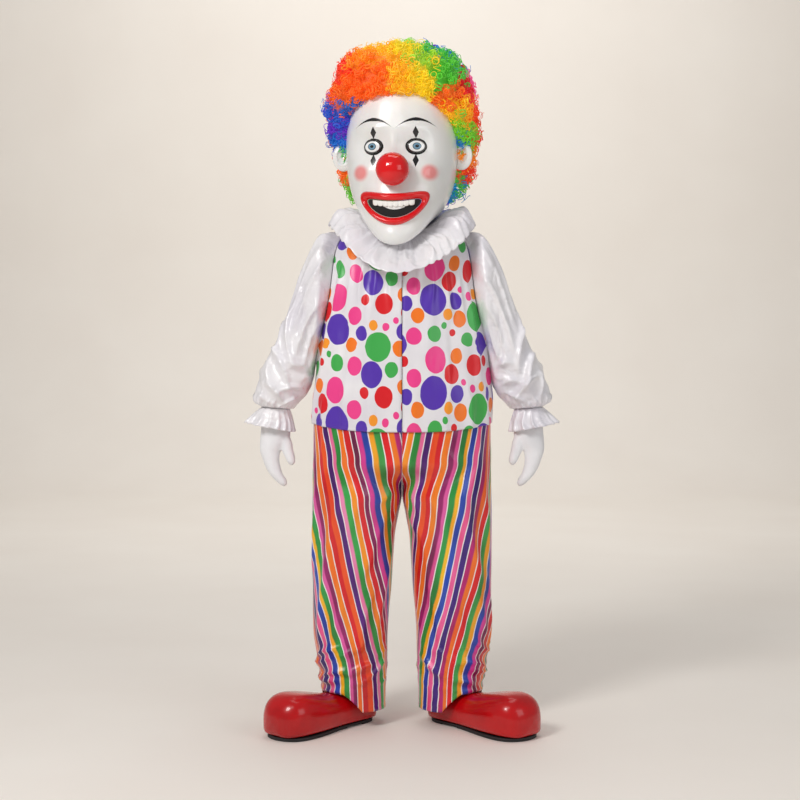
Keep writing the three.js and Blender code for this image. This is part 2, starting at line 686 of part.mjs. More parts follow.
function makeBlouse() {
  const rows = BODY_STOPS.length - 1;
  const seamDeg = (reach) => ((SEAM / 2 + 0.05) / reach) * (180 / PI);
  for (const [name, side] of [["left", 1], ["right", -1]]) {
    const at = (u, v) => {
      const t = bodyStop(v);
      const reach = rowAt(BODY, t);
      const from = seamDeg(reach.front);
      const to = armholeDeg(t) - seamDeg(reach.front * 0.6);
      const p = bodyPoint(side * mix(from, to, u), t);
      return vec(side * p.x, p.y, p.z);
    };
    const panel = layer(at, 7, rows, -SATIN, 0, { mirror: side < 0 });
    piece(`blouse_front_${name}`, panel, MATERIALS.spottedSatin);
  }
  const backAt = (u, v) => {
    const t = bodyStop(v);
    const reach = rowAt(BODY, t);
    const start = 180 - armholeDeg(t) + seamDeg(reach.back * 0.6);
    return bodyPoint(mix(start, 360 - start, u), t);
  };
  piece("blouse_back", layer(backAt, 12, rows, -SATIN, 0), MATERIALS.spottedSatin);
}

// Sleeves
const SLEEVE_COLUMNS = 2 * ARMHOLE_STEPS;

function sleeveSection(k, u) {
  const turn = u * TURN;
  if (k === 0) {
    const rising = 1 - abs(1 - 2 * u);
    const t = mix(UNDERARM, SHOULDER_POINT, rising);
    const edge = armholeDeg(t);
    const p = bodyPoint(u < 0.5 ? 180 - edge : edge, t);
    return p.add(vec(0.6, 0, t < UNDERARM + 1 ? 0.8 : 0.1));
  }
  const row = SLEEVE[k];
  const share = (1 - cos(turn)) / 2;
  return vec(mix(row.inX, row.outX, share), row.y + row.deep * sin(turn), mix(row.inZ, row.outZ, share));
}

function sleevePoint(u, place) {
  const around = u - Math.floor(u);
  const last = SLEEVE.length - 1;
  const i = min(last - 1, max(0, Math.floor(place)));
  const ends = [i - 1, i, i + 1, i + 2].map((k) => sleeveSection(max(0, min(last, k)), around));
  const f = place - i;
  const p = new THREE.CatmullRomCurve3(ends, false, "catmullrom", 0.5).getPoint((1 + f) / 3);
  const row = rowAt(SLEEVE, place);
  const centre = vec((row.inX + row.outX) / 2, row.y, (row.inZ + row.outZ) / 2);
  let sink = 0;
  for (const fold of SLEEVE_FOLDS) {
    const lean = (turnFrom(around * 360, fold.deg) / fold.wide) * 0.5;
    sink += fold.deep * hump(place - fold.at - lean, fold.long) * hump(turnFrom(around * 360, fold.deg), fold.wide);
  }
  return p.add(centre.sub(p).setLength(sink));
}

function makeSleeves() {
  for (const [name, side] of [["left", 1], ["right", -1]]) {
    const at = (u, v) => sleevePoint(u, v * (SLEEVE.length - 1));
    const sleeve = layer(at, SLEEVE_COLUMNS, 11, -SATIN, 0, { round: true, mirror: side < 0 });
    piece(`sleeve_${name}`, sleeve, MATERIALS.whiteSatin);
    const frillAt = (u, v) => {
      const open = (1 - v) ** 0.8;
      const turn = u * TURN;
      const wave = CUFF.wave * (1 - v) * sin(CUFF_GATHERS * turn);
      const half = mix(CUFF.topHalf, CUFF.half, open) + wave;
      const deep = mix(CUFF.topDeep, CUFF.deep, open) + wave;
      const rise = CUFF.tilt * (1 - v) * cos(turn);
      return vec(
        mix(WRIST.x, CUFF.x, 1 - v) + half * cos(turn),
        mix(WRIST.y, CUFF.y, 1 - v) + deep * sin(turn),
        mix(CUFF.z, WRIST.z, v) + rise + 2.4 * v * cos(turn),
      );
    };
    const frill = layer(frillAt, CUFF_GATHERS * 3, 2, -SATIN, 0, { round: true, mirror: side < 0 });
    piece(`cuff_frill_${name}`, frill, MATERIALS.whiteSatin);
  }
}

// Gloves
function tubePoint(rows, u, v, shrink) {
  const row = rowAt(rows, (1 - v) * (rows.length - 1));
  const turn = u * TURN;
  const half = max(0, row.half - shrink);
  const deep = max(0, row.deep - shrink);
  return vec(row.x + half * cos(turn), row.y + deep * sin(turn), row.z + (half === 0 ? shrink : 0));
}

function makeGloves() {
  const body = (rows, columns, steps, shrink, lift) => {
    const at = (u, v) => {
      const p = tubePoint(rows, u, 1 - v, shrink);
      p.z += lift * (v < 1e-6 ? 1 : 0);
      return p;
    };
    const flipped = (u, v) => at(1 - u, v);
    return solid(filled(flipped, columns, steps, 0));
  };
  const outer = body(GLOVE, 12, GLOVE.length, 0, 0).add(body(THUMB, 8, THUMB.length - 1, 0, 0));
  const inner = body(GLOVE, 12, GLOVE.length, GLOVE_CLOTH, 2).add(body(THUMB, 8, THUMB.length - 1, GLOVE_CLOTH, 0));
  const glove = shaped(outer.subtract(inner));
  for (const [name, side] of [["left", 1], ["right", -1]]) {
    const mesh = piece(`glove_${name}`, glove, MATERIALS.gloveCotton);
    mesh.scale.x = side;
  }
}

// Shoes
const SHOE_COLUMNS = 14;
const SHOE_ROWS = 13;
const SOLE_ROWS = 15;
const shoeAxis = vec(cos(rad(SHOE_TURNOUT_DEG)), -sin(rad(SHOE_TURNOUT_DEG)), 0);
const shoeSide = vec(-shoeAxis.y, shoeAxis.x, 0);

// Height of the shoe's upper side over a point of the floor, for the wearer's left shoe
function shoeTop(x, y) {
  const u = (x - ANKLE.x) * shoeAxis.x + (y - ANKLE.y) * shoeAxis.y;
  const across = (x - ANKLE.x) * shoeSide.x + (y - ANKLE.y) * shoeSide.y;
  if (u <= SHOE[0].u || u >= SHOE[SHOE.length - 1].u) {
    return 0;
  }
  const row = rowAt(SHOE, placeOf(SHOE, "u", u));
  const share = abs(across) / row.half;
  if (share >= 1) {
    return 0;
  }
  const widest = mix(row.low, row.top, SHOE_WIDEST);
  return widest + (row.top - widest) * pow(1 - pow(share, 1 / SHOE_ROUND.across), SHOE_ROUND.top);
}

function shoePoint(u, v) {
  const row = rowAt(SHOE, v * (SHOE.length - 1));
  const turn = u * TURN;
  const c = cos(turn);
  const s = sin(turn);
  const widest = mix(row.low, row.top, SHOE_WIDEST);
  const upper = s > 0;
  const across = max(0, row.half) * bend(c, upper ? SHOE_ROUND.across : SHOE_ROUND.under);
  const z = upper
    ? widest + (row.top - widest) * pow(s, SHOE_ROUND.top)
    : widest - (widest - row.low) * pow(-s, SHOE_ROUND.under);
  return vec(row.u, across, max(z, SOLE_THICKNESS + SEAM));
}

function makeShoes() {
  const outer = solid(filled(shoePoint, SHOE_COLUMNS, SHOE_ROWS, 0, { toe: true }));
  const inner = solid(filled(shoePoint, SHOE_COLUMNS, SHOE_ROWS, -SHOE_LEATHER, { toe: true }));
  const collar = new THREE.CylinderGeometry(1, 1, COLLAR.tall, 16);
  collar.rotateX(PI / 2);
  collar.scale(COLLAR.long, COLLAR.wide, 1);
  collar.translate(0, 0, COLLAR.z + COLLAR.tall / 2);
  const upper = outer.subtract(inner).subtract(solid(collar));
  const gap = SEAM / 2;
  const vamp = upper.trimByPlane([1, 0, 0], VAMP_SEAM_U + gap);
  const rest = upper.trimByPlane([-1, 0, 0], -VAMP_SEAM_U + gap);
  const quarter = rest.trimByPlane([1, 0, 0], COUNTER_SEAM_U + gap);
  const counter = rest.trimByPlane([-1, 0, 0], -COUNTER_SEAM_U + gap);
  const soleAt = (u) => SOLE.middle + (u - SOLE.middle) * SOLE.share;
  const outline = new THREE.Shape();
  const plan = [];
  for (let i = 1; i < SOLE_ROWS; i += 1) {
    const row = rowAt(SHOE, (i / SOLE_ROWS) * (SHOE.length - 1));
    plan.push([soleAt(row.u), row.half - SOLE.inset]);
  }
  outline.moveTo(soleAt(SHOE[0].u), 0);
  for (const [u, half] of plan) {
    outline.lineTo(u, -half);
  }
  outline.lineTo(soleAt(SHOE[SHOE.length - 1].u), 0);
  for (const [u, half] of plan.reverse()) {
    outline.lineTo(u, half);
  }
  const slab = new THREE.ExtrudeGeometry(outline, { depth: SOLE_THICKNESS, bevelEnabled: false });
  const notch = new THREE.BoxGeometry(ARCH.to - ARCH.from, 4 * SHOE[9].half, 2 * ARCH.rise);
  notch.translate((ARCH.from + ARCH.to) / 2, 0, 0);
  const sole = solid(slab).subtract(solid(notch));
  const parts = [
    ["vamp", vamp, MATERIALS.shoeRed],
    ["quarter", quarter, MATERIALS.shoeRed],
    ["heel_counter", counter, MATERIALS.shoeRed],
    ["sole", sole, MATERIALS.soleBlack],
  ];
  for (const [name, side] of [["left", 1], ["right", -1]]) {
    const shoe = new THREE.Group();
    shoe.position.set(side * ANKLE.x, ANKLE.y, 0);
    shoe.rotation.z = side > 0 ? -rad(SHOE_TURNOUT_DEG) : rad(SHOE_TURNOUT_DEG) + PI;
    costume.add(shoe);
    for (const [part, form, material] of parts) {
      piece(`shoe_${part}_${name}`, shaped(form), material, shoe);
    }
  }
}

// Trousers, for the wearer's left leg. Front panels run from deg -90, the inner seam, to 90, the
// outer seam; back panels from 270 back to 90.
const LEG_STOPS = [CUFF_BREAK_HEIGHT, 270, 400, 560, CROTCH_HEIGHT, 720, 790, 900, 980];

function legPoint(share, z, behind) {
  const row = rowAt(LEG, placeOf(LEG, "z", z));
  const turn = mix(-PI / 2, PI / 2, share);
  const middle = (row.out + row.in) / 2;
  const half = (row.out - row.in) / 2;
  const reach = behind ? row.back : row.front;
  const leg = vec(middle + half * sin(turn), reach * cos(turn), z);
  const wrap = (share * PI) / 2;
  const hip = vec(
    row.in + (row.out - row.in) * bend(sin(wrap), BODY_ROUND),
    reach * bend(cos(wrap), BODY_ROUND),
    z,
  );
  const p = leg.lerp(hip, ease(CROTCH_HEIGHT, CROTCH_HEIGHT + 110, z));
  const deg = behind ? 180 - (turn * 180) / PI : (turn * 180) / PI;
  let out = 0;
  for (const fold of BREAK_FOLDS) {
    out += fold.out * hump(z - fold.z, fold.high) * hump(turnFrom(deg, fold.deg), fold.wide);
  }
  for (const fold of LEG_FOLDS) {
    out -= fold.deep * hump(z - fold.z, fold.high) * hump(turnFrom(deg, fold.deg), fold.wide);
  }
  const length = hypot(p.x - middle, p.y);
  const away = vec((p.x - middle) / length, p.y / length, 0);
  p.addScaledVector(away, out * (1 - ease(560, 700, z)));
  p.y = (p.y + SEAM / 2) * (behind ? 1 : -1);
  return p;
}

function hemHeight(share, behind) {
  let height = TROUSER_HEM;
  for (const aside of [-0.15, -0.1, -0.05, 0, 0.05, 0.1, 0.15]) {
    const p = legPoint(min(1, max(0, share + aside)), LEG[1].z, behind);
    for (const pull of [0.92, 0.96, 1, 1.03]) {
      const top = shoeTop(mix(ANKLE.x, p.x, pull), mix(ANKLE.y, p.y, pull));
      height = max(height, top + HEM_REST - 16 * abs(aside));
    }
  }
  return height;
}

function makeTrousers() {
  const rows = BREAK_STEPS + LEG_STOPS.length - 1;
  const heights = (v) => {
    const place = v * rows;
    if (place < BREAK_STEPS) {
      return { low: place / BREAK_STEPS, z: CUFF_BREAK_HEIGHT };
    }
    const i = min(LEG_STOPS.length - 2, Math.floor(place - BREAK_STEPS));
    return { low: 1, z: mix(LEG_STOPS[i], LEG_STOPS[i + 1], place - BREAK_STEPS - i) };
  };
  for (const [name, side] of [["left", 1], ["right", -1]]) {
    for (const [face, behind] of [["front", false], ["back", true]]) {
      const at = (u, v) => {
        const share = behind ? 1 - u : u;
        const { low, z } = heights(v);
        const height = low < 1 ? mix(hemHeight(share, behind), z, low) : z;
        return legPoint(share, height, behind);
      };
      const panel = layer(at, 7, rows, -SATIN, 0, { mirror: side < 0 });
      piece(`trousers_${face}_${name}`, panel, MATERIALS.stripedSatin);
    }
  }
  const top = LEG[LEG.length - 1];
  const ring = { half: top.out, front: top.front, back: top.back, side: 0, frontZ: 0, backZ: 0 };
  const bandAt = (u, v) => {
    const p = ringPoint(ring, u * 360, BODY_ROUND);
    p.z = top.z + SEAM + v * WAISTBAND_HEIGHT;
    return p;
  };
  piece("waistband", layer(bandAt, 24, 1, -ELASTIC, 0, { round: true }), MATERIALS.elasticBand);
}

const faceSeat = solid(filled(maskAt, MASK_COLUMNS, MASK_ROWS, SEAM));
makeMask();
makeMouth(faceSeat);
makeFaceParts(faceSeat);
makeRuff();
makeBlouse();
makeSleeves();
makeGloves();
makeTrousers();
makeShoes();

export default costume;
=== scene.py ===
import bmesh
import bpy
import numpy as np
from mathutils.bvhtree import BVHTree
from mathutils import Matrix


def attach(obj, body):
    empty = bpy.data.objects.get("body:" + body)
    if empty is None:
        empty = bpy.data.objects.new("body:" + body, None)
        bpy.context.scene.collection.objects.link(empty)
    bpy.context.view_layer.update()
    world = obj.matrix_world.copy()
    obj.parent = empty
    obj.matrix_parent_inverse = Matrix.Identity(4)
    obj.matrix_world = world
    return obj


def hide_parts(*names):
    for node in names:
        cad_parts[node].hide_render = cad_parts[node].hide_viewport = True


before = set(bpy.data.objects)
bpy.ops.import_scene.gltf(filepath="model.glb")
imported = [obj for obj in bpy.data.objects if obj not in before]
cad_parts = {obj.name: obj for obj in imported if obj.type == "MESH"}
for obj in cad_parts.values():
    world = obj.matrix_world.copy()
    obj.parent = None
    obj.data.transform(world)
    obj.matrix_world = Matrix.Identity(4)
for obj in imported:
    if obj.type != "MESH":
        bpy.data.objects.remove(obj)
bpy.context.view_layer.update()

# Lengths are in millimetres, and heights are above the floor, until a mesh is made
SHOULDER_HEIGHT = 1440.0
FLOOR_TO_ORIGIN = np.array([0, 0, SHOULDER_HEIGHT])
HEAD_TURN = np.radians(-8)
SATIN = 1.5
HALF_SEAM = 0.2
TURN = 2 * np.pi
SIDES = (("left", 1), ("right", -1))
chance = np.random.default_rng(4)


# Tables and curves

def table(names, *rows):
    return dict(zip(names.split(), np.array(rows, float).T))


def along(values, t):
    """Smooth value of a table's column at a place between its rows."""
    last = len(values) - 1
    t = np.asarray(t, float)
    i = np.clip(np.floor(t), 0, last - 1).astype(int)
    f = t - i
    b, c = values[i], values[i + 1]
    a = np.where(i > 0, values[i - 1], 2 * b - c)
    d = np.where(i < last - 1, values[np.minimum(i + 2, last)], 2 * c - b)
    return between(a, b, c, d, f)


def between(a, b, c, d, f):
    """The curve through b and c that four values in a row give."""
    f2, f3 = f * f, f * f * f
    return (b * (2 * f3 - 3 * f2 + 1) + (c - a) / 2 * (f3 - 2 * f2 + f)
            + c * (3 * f2 - 2 * f3) + (d - b) / 2 * (f3 - f2))


def row_at(rows, t):
    return {name: along(values, t) for name, values in rows.items()}


def place_of(values, x):
    return np.interp(x, values, np.arange(len(values)))


def ease(start, end, x):
    t = np.clip((x - start) / (end - start), 0, 1)
    return t * t * (3 - 2 * t)


def mix(a, b, t):
    return a + (b - a) * t


def hump(x, wide):
    return np.exp(-((x / wide) ** 2))


def bend(x, power):
    return np.sign(x) * np.abs(x) ** power


def turn_from(deg, other):
    return (deg - other + 180) % 360 - 180


def xyz(x, y, z):
    return np.stack(np.broadcast_arrays(x, y, z), -1).astype(float)


def ring(rows, t, deg, power):
    """Points of closed sections: deg 0 is the front, 90 the wearer's left, 180 the back."""
    row = row_at(rows, t)
    s, c = np.sin(np.radians(deg)), np.cos(np.radians(deg))
    reach = np.where(c > 0, row["front"], row["back"])
    height = np.where(c > 0, row["front_z"], row["back_z"])
    return xyz(row["half"] * bend(s, power), -reach * bend(c, power), mix(row["side_z"], height, c * c))


def grid(columns, rows):
    u, v = np.meshgrid(np.linspace(0, 1, columns + 1), np.linspace(0, 1, rows + 1))
    return u, v


def ball(columns, rows):
    """Points of a ball of radius 1, from its lowest point up."""
    u, v = grid(columns, rows)
    down, turn = np.pi * (1 - v), TURN * u
    return xyz(np.sin(down) * np.cos(turn), np.sin(down) * np.sin(turn), np.cos(down))


def length_along(points, axis):
    step = np.linalg.norm(np.diff(points, axis=axis), axis=-1)
    return np.concatenate([np.zeros_like(step.take([0], axis)), np.cumsum(step, axis)], axis)


def flat_cloth(points):
    """Each point's place on the cloth laid flat."""
    return np.stack([length_along(points, 1), length_along(points, 0)], -1)


def smoothed(values, reach):
    """Means over the rows near each row, the nearest with the most weight."""
    rows = np.arange(len(values))
    total = 0
    for k in range(-reach, reach + 1):
        total = total + values[np.clip(rows + k, 0, len(values) - 1)] * (reach + 1 - abs(k))
    return total / (reach + 1) ** 2


def creases(across, up, folds, around=None):
    """Height of soft creases on a sheet. Each has its place, lean in degrees, half length, half width,
    height and curl; a trough has a height below zero. A sheet that closes repeats after around."""
    total = np.zeros(np.broadcast(across, up).shape)
    for x, y, lean, long, wide, high, curl in folds:
        dx = across - x
        if around:
            dx = (dx + around / 2) % around - around / 2
        dy = up - y
        s, c = np.sin(np.radians(lean)), np.cos(np.radians(lean))
        run = (dx * s + dy * c) / long
        off = (dx * c - dy * s - curl * run * run) / (wide * (1 + 0.35 * run))
        total += high * np.exp(-np.abs(off) ** 1.6) * np.exp(-run ** 4 - 0.5 * run * run)
    return total


def scattered(count, seed, across, up, lean, long, wide, high, curl=6):
    """Small creases of uneven sizes, spread over a sheet, about a third of them troughs."""
    r = np.random.default_rng(seed)
    sign = r.choice([-1, 1, 1], count)
    x, y, lean, long, wide, high = (r.uniform(*span, count) for span in (across, up, lean, long, wide, high))
    return list(zip(x, y, lean, long, wide, high * sign, r.uniform(-curl, curl, count)))


def gathers(u, count, share, seed):
    """Height of gathers round a ring, from -1 to 1, in uneven widths and heights."""
    r = np.random.default_rng(seed)
    widths = 1 + share * r.uniform(-1, 1, count)
    edges = np.concatenate([[0], np.cumsum(widths) / widths.sum()])
    tall = r.uniform(0.45, 1.15, count)
    phase = np.interp(u % 1, edges, np.arange(count + 1))
    strength = np.interp(phase % count, np.arange(count + 1), np.append(tall, tall[0]))
    return strength * (np.sin(TURN * phase) - 0.25 * np.cos(2 * TURN * phase))


# Meshes

def facing(points, closed):
    """Outward normals of a grid of points."""
    if closed:
        across = np.roll(points, -1, 1) - np.roll(points, 1, 1)
    else:
        across = np.gradient(points, axis=1)
    n = np.cross(across, np.gradient(points, axis=0))
    length = np.linalg.norm(n, axis=-1, keepdims=True)
    return n / np.maximum(length, 1e-9)


def raised(points, amount, closed=False):
    """The grid moved along its normals. The last column of a closed grid repeats the first."""
    base = points[:, :-1] if closed else points
    n = facing(base, closed)
    for row, inner in ((0, 1), (-1, -2)):
        if np.ptp(base[row], 0).max() < 1e-6:
            n[row] = n[inner].mean(0)
            n[row] /= np.linalg.norm(n[row])
    if closed:
        n = np.concatenate([n, n[:, :1]], 1)
    return points + n * (amount[..., None] if np.ndim(amount) else amount)


def placed(name, data):
    """A new object in the scene."""
    obj = bpy.data.objects.new(name, data)
    bpy.context.scene.collection.objects.link(obj)
    return obj


def mesh_object(name, points, faces):
    mesh = bpy.data.meshes.new(name)
    mesh.from_pydata(((points - FLOOR_TO_ORIGIN) / 1000).tolist(), [], faces)
    return placed(name, mesh)


def grid_faces(ids):
    """Quads between the neighbours of a grid of point numbers."""
    return np.stack([ids[:-1, :-1], ids[:-1, 1:], ids[1:, 1:], ids[1:, :-1]], -1).reshape(-1, 4)


def numbered(points):
    return np.arange(points.shape[0] * points.shape[1]).reshape(points.shape[:2])


def solid_mesh(name, outer, inner, flat=None, closed=False, mirror=False):
    """A thin closed body between two grids of points, as an object at the frame's origin."""
    numbers = numbered(outer)
    ids = numbers.copy()
    if closed:
        ids[:, -1] = ids[:, 0]
    quads, corners = [], []

    def add(layers, picks):
        quads.append(np.stack([ids[p] + k * ids.size for k, p in zip(layers, picks)], -1).reshape(-1, 4))
        corners.append(np.stack([numbers[p] for p in picks], -1).reshape(-1, 4))

    low, high = slice(None, -1), slice(1, None)
    a, b, c, d = (low, low), (low, high), (high, high), (high, low)
    add((0, 0, 0, 0), (a, b, c, d))
    add((1, 1, 1, 1), (a, d, c, b))
    add((0, 0, 1, 1), ((0, high), (0, low), (0, low), (0, high)))
    add((0, 0, 1, 1), ((-1, low), (-1, high), (-1, high), (-1, low)))
    if not closed:
        add((0, 0, 1, 1), ((low, 0), (high, 0), (high, 0), (low, 0)))
        add((0, 0, 1, 1), ((high, -1), (low, -1), (low, -1), (high, -1)))
    quads, corners = np.concatenate(quads), np.concatenate(corners)
    points = np.concatenate([outer.reshape(-1, 3), inner.reshape(-1, 3)])
    if mirror:
        points = points * [-1, 1, 1]
        quads, corners = quads[:, ::-1], corners[:, ::-1]
    obj = mesh_object(name, points, quads.tolist())
    if flat is not None:
        layer = obj.data.uv_layers.new(name="cloth")
        layer.data.foreach_set("uv", (flat.reshape(-1, 2)[corners.ravel()] / 1000).ravel())
    return tidy(obj)


def cloth_mesh(name, points, out, into, flat=None, closed=False, mirror=False):
    """A thin body about a grid of points, from one distance along its normals to another."""
    return solid_mesh(name, raised(points, out, closed), raised(points, into, closed), flat, closed, mirror)


def closed_skin(name, points):
    """A closed body from rings of points that end in poles or flat ends."""
    ids = numbered(points)
    ids[:, -1] = ids[:, 0]
    faces = grid_faces(ids).tolist()
    for row, order in ((0, -1), (-1, 1)):
        if np.ptp(points[row], 0).max() > 1e-6:
            faces.append(ids[row, :-1][::order].tolist())
    return tidy(mesh_object(name, points.reshape(-1, 3), faces))


def opened(obj):
    """The object's mesh, open for edits."""
    edit = bmesh.new()
    edit.from_mesh(obj.data)
    return edit


def stored(edit, obj):
    edit.to_mesh(obj.data)
    edit.free()


def smooth(obj, sharp=None):
    obj.data.polygons.foreach_set("use_smooth", [True] * len(obj.data.polygons))
    if sharp:
        obj.data.set_sharp_from_angle(angle=np.radians(sharp))
    obj.data.update()
    return obj


def tidy(obj, sharp=None):
    """Poles and seams closed, loose points gone, smooth shading."""
    edit = opened(obj)
    bmesh.ops.remove_doubles(edit, verts=edit.verts, dist=2e-6)
    bmesh.ops.dissolve_degenerate(edit, edges=edit.edges, dist=1e-7)
    bmesh.ops.delete(edit, geom=[v for v in edit.verts if not v.link_faces], context="VERTS")
    stored(edit, obj)
    return smooth(obj, sharp)


def sliced(edit, place, way):
    """Takes away what lies past a plane, and gives the cut's edges."""
    whole = [*edit.verts, *edit.edges, *edit.faces]
    made = bmesh.ops.bisect_plane(edit, geom=whole, plane_co=place, plane_no=way, clear_outer=True)
    return [part for part in made["geom_cut"] if isinstance(part, bmesh.types.BMEdge)]


def points_of(obj):
    """The mesh's points in millimetres, measured from the floor."""
    return np.array([v.co[:] for v in obj.data.vertices]) * 1000 + FLOOR_TO_ORIGIN


def taken(obj):
    """Points and faces of a form, which is then removed."""
    points, faces = points_of(obj), [tuple(face.vertices) for face in obj.data.polygons]
    bpy.data.meshes.remove(obj.data)
    return points, faces


def turned_head(obj):
    """The head parts are made facing forward and turned to their place."""
    c, s = np.cos(HEAD_TURN), np.sin(HEAD_TURN)
    points = np.empty(len(obj.data.vertices) * 3)
    obj.data.vertices.foreach_get("co", points)
    points = points.reshape(-1, 3) @ np.array([[c, s, 0], [-s, c, 0], [0, 0, 1]])
    obj.data.vertices.foreach_set("co", points.ravel())
    obj.data.update()
    return obj


def applied(obj):
    """The object's modifiers made into its mesh."""
    graph = bpy.context.evaluated_depsgraph_get()
    shape = obj.evaluated_get(graph)
    mesh = bpy.data.meshes.new_from_object(shape, preserve_all_data_layers=True, depsgraph=graph)
    obj.modifiers.clear()
    old, obj.data = obj.data, mesh
    bpy.data.meshes.remove(old)
    mesh.name = obj.name
    return obj


def modified(obj, kind, **settings):
    """The object with one modifier more, not yet made into its mesh."""
    step = obj.modifiers.new(kind.lower(), kind)
    for name, value in settings.items():
        setattr(step, name, value)
    return obj


def cut(obj, tool, how="DIFFERENCE"):
    applied(modified(obj, "BOOLEAN", operation=how, solver="EXACT", object=tool))
    bpy.data.meshes.remove(tool.data)
    return obj


def worn(obj, node, slot, material):
    """Gives a finished piece its material and its place in the frame."""
    obj.data.materials.clear()
    obj.data.materials.append(material)
    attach(obj, "root")
    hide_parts(node)
    return obj


# Materials

class Wire:
    """A socket that adds, subtracts, multiplies and divides as a number does."""

    def __init__(self, dye, socket):
        self.dye, self.socket = dye, socket

    def math(self, operation, *values):
        return self.dye.math(operation, self, *values)

    def __add__(self, other):
        return self.math("ADD", other)

    def __sub__(self, other):
        return self.math("SUBTRACT", other)

    def __mul__(self, other):
        return self.math("MULTIPLY", other)

    def __truediv__(self, other):
        return self.math("DIVIDE", other)

    def __rsub__(self, other):
        return self.dye.math("SUBTRACT", other, self)

    def __abs__(self):
        return self.math("ABSOLUTE")

    __radd__ = __add__
    __rmul__ = __mul__


class Dye:
    """A procedural material and the nodes that colour it."""

    def __init__(self, name, **surface):
        self.material = bpy.data.materials.new(name)
        self.material.use_nodes = True
        self.tree = self.material.node_tree
        self.surface = self.tree.nodes["Principled BSDF"]
        self.set(self.surface, surface)

    def fill(self, socket, value):
        if isinstance(value, Wire):
            self.tree.links.new(value.socket, socket)
        else:
            socket.default_value = value

    def set(self, node, values):
        for name, value in values.items():
            self.fill(node.inputs[name if isinstance(name, int) else name.replace("_", " ")], value)

    def node(self, kind, settings=None, values=None, out=0):
        node = self.tree.nodes.new("ShaderNode" + kind)
        for name, value in (settings or {}).items():
            setattr(node, name, value)
        self.set(node, values or {})
        return Wire(self, node.outputs[out])

    def math(self, operation, *values):
        return self.node("Math", {"operation": operation}, dict(enumerate(values)))

    def vector(self, operation, *values, out=0):
        return self.node("VectorMath", {"operation": operation}, dict(enumerate(values)), out)

    def scaled(self, vector, by):
        return self.node("VectorMath", {"operation": "SCALE"}, {0: vector, "Scale": by})

    def length(self, vector):
        return self.vector("LENGTH", vector, out=1)

    def place(self):
        return self.node("TexCoord", out="Object")

    def cloth(self):
        return self.node("UVMap", {"uv_map": "cloth"})

    def split(self, vector):
        node = self.tree.nodes.new("ShaderNodeSeparateXYZ")
        self.tree.links.new(vector.socket, node.inputs[0])
        return [Wire(self, socket) for socket in node.outputs]

    def noise(self, vector, scale, detail=3.0, rough=0.5, twist=0.0, kind="FBM"):
        values = {"Vector": vector, "Scale": scale, "Detail": detail, "Roughness": rough, "Distortion": twist}
        return self.node("TexNoise", {"noise_type": kind}, values)

    def step(self, value, start, end):
        return self.node("MapRange", {"interpolation_type": "SMOOTHSTEP"}, {0: value, 1: start, 2: end})

    def blend(self, factor, first, second, how="MIX"):
        node = self.tree.nodes.new("ShaderNodeMix")
        node.data_type = "RGBA"
        node.blend_type = how
        self.fill(node.inputs[0], factor)
        for index, colour in ((6, first), (7, second)):
            self.fill(node.inputs[index], colour if isinstance(colour, Wire) else (*colour[:3], 1))
        return Wire(self, node.outputs[2])

    def mottled(self, place, scale, detail, first, second, start=0.35):
        """A colour that drifts softly to another."""
        return self.blend(self.step(self.noise(place, scale, detail), start, 0.7), rgb(first), rgb(second))

    def ramp(self, value, stops):
        node = self.tree.nodes.new("ShaderNodeValToRGB")
        bar = node.color_ramp
        while len(bar.elements) > 1:
            bar.elements.remove(bar.elements[-1])
        for i, (place, colour) in enumerate(stops):
            element = bar.elements[0] if i == 0 else bar.elements.new(place)
            element.position = place
            element.color = (*colour, 1)
        self.tree.links.new(value.socket, node.inputs[0])
        return Wire(self, node.outputs[0])

    def finish(self, colour, bumps=(), **more):
        """Sets the colour and the bumps, each a height in metres."""
        self.set(self.surface, {"Base Color": colour, **more})
        below = {}
        for height in bumps:
            normal = self.node("Bump", None, {"Height": height, "Distance": 1.0, "Strength": 1.0, **below})
            below = {"Normal": normal}
        self.set(self.surface, below)
        return self.material


def rgb(code):
    """Linear colour of a six digit code."""
    parts = np.array([int(code[i:i + 2], 16) for i in (0, 2, 4)]) / 255
    return tuple(np.where(parts <= 0.04045, parts / 12.92, ((parts + 0.055) / 1.055) ** 2.4))


def rumple(dye, place, small=0.0011, fine=0.00005):
    """Heights of soft wrinkles and of a fine weave, in metres."""
    warp = dye.noise(place, 9.0, 2.0)
    soft = dye.noise(place, 11.0, 1.5, 0.4, 0.7, "RIDGED_MULTIFRACTAL")
    grain = dye.noise(place, 900.0, 2.0)
    return [warp * (small * 3) + soft * small, grain * fine]


def white_satin():
    dye = Dye("white_satin", Roughness=0.3, Sheen_Weight=0.1, Sheen_Roughness=0.4, Coat_Weight=0.3,
              Coat_Roughness=0.28, Specular_IOR_Level=0.6)
    place = dye.place()
    colour = dye.mottled(place, 6.0, 3.0, "f0eef1", "e4e1e9")
    puddles = dye.noise(place, 15.0, 2.0, twist=1.4)
    return dye.finish(colour, [puddles * 0.007, *rumple(dye, place, small=0.0014)])


SPOT_REPEAT = 0.27
SPOT_TALLNESS = 1.22
SPOT_EDGE = 0.0006
SPOT_WOBBLE = 0.006
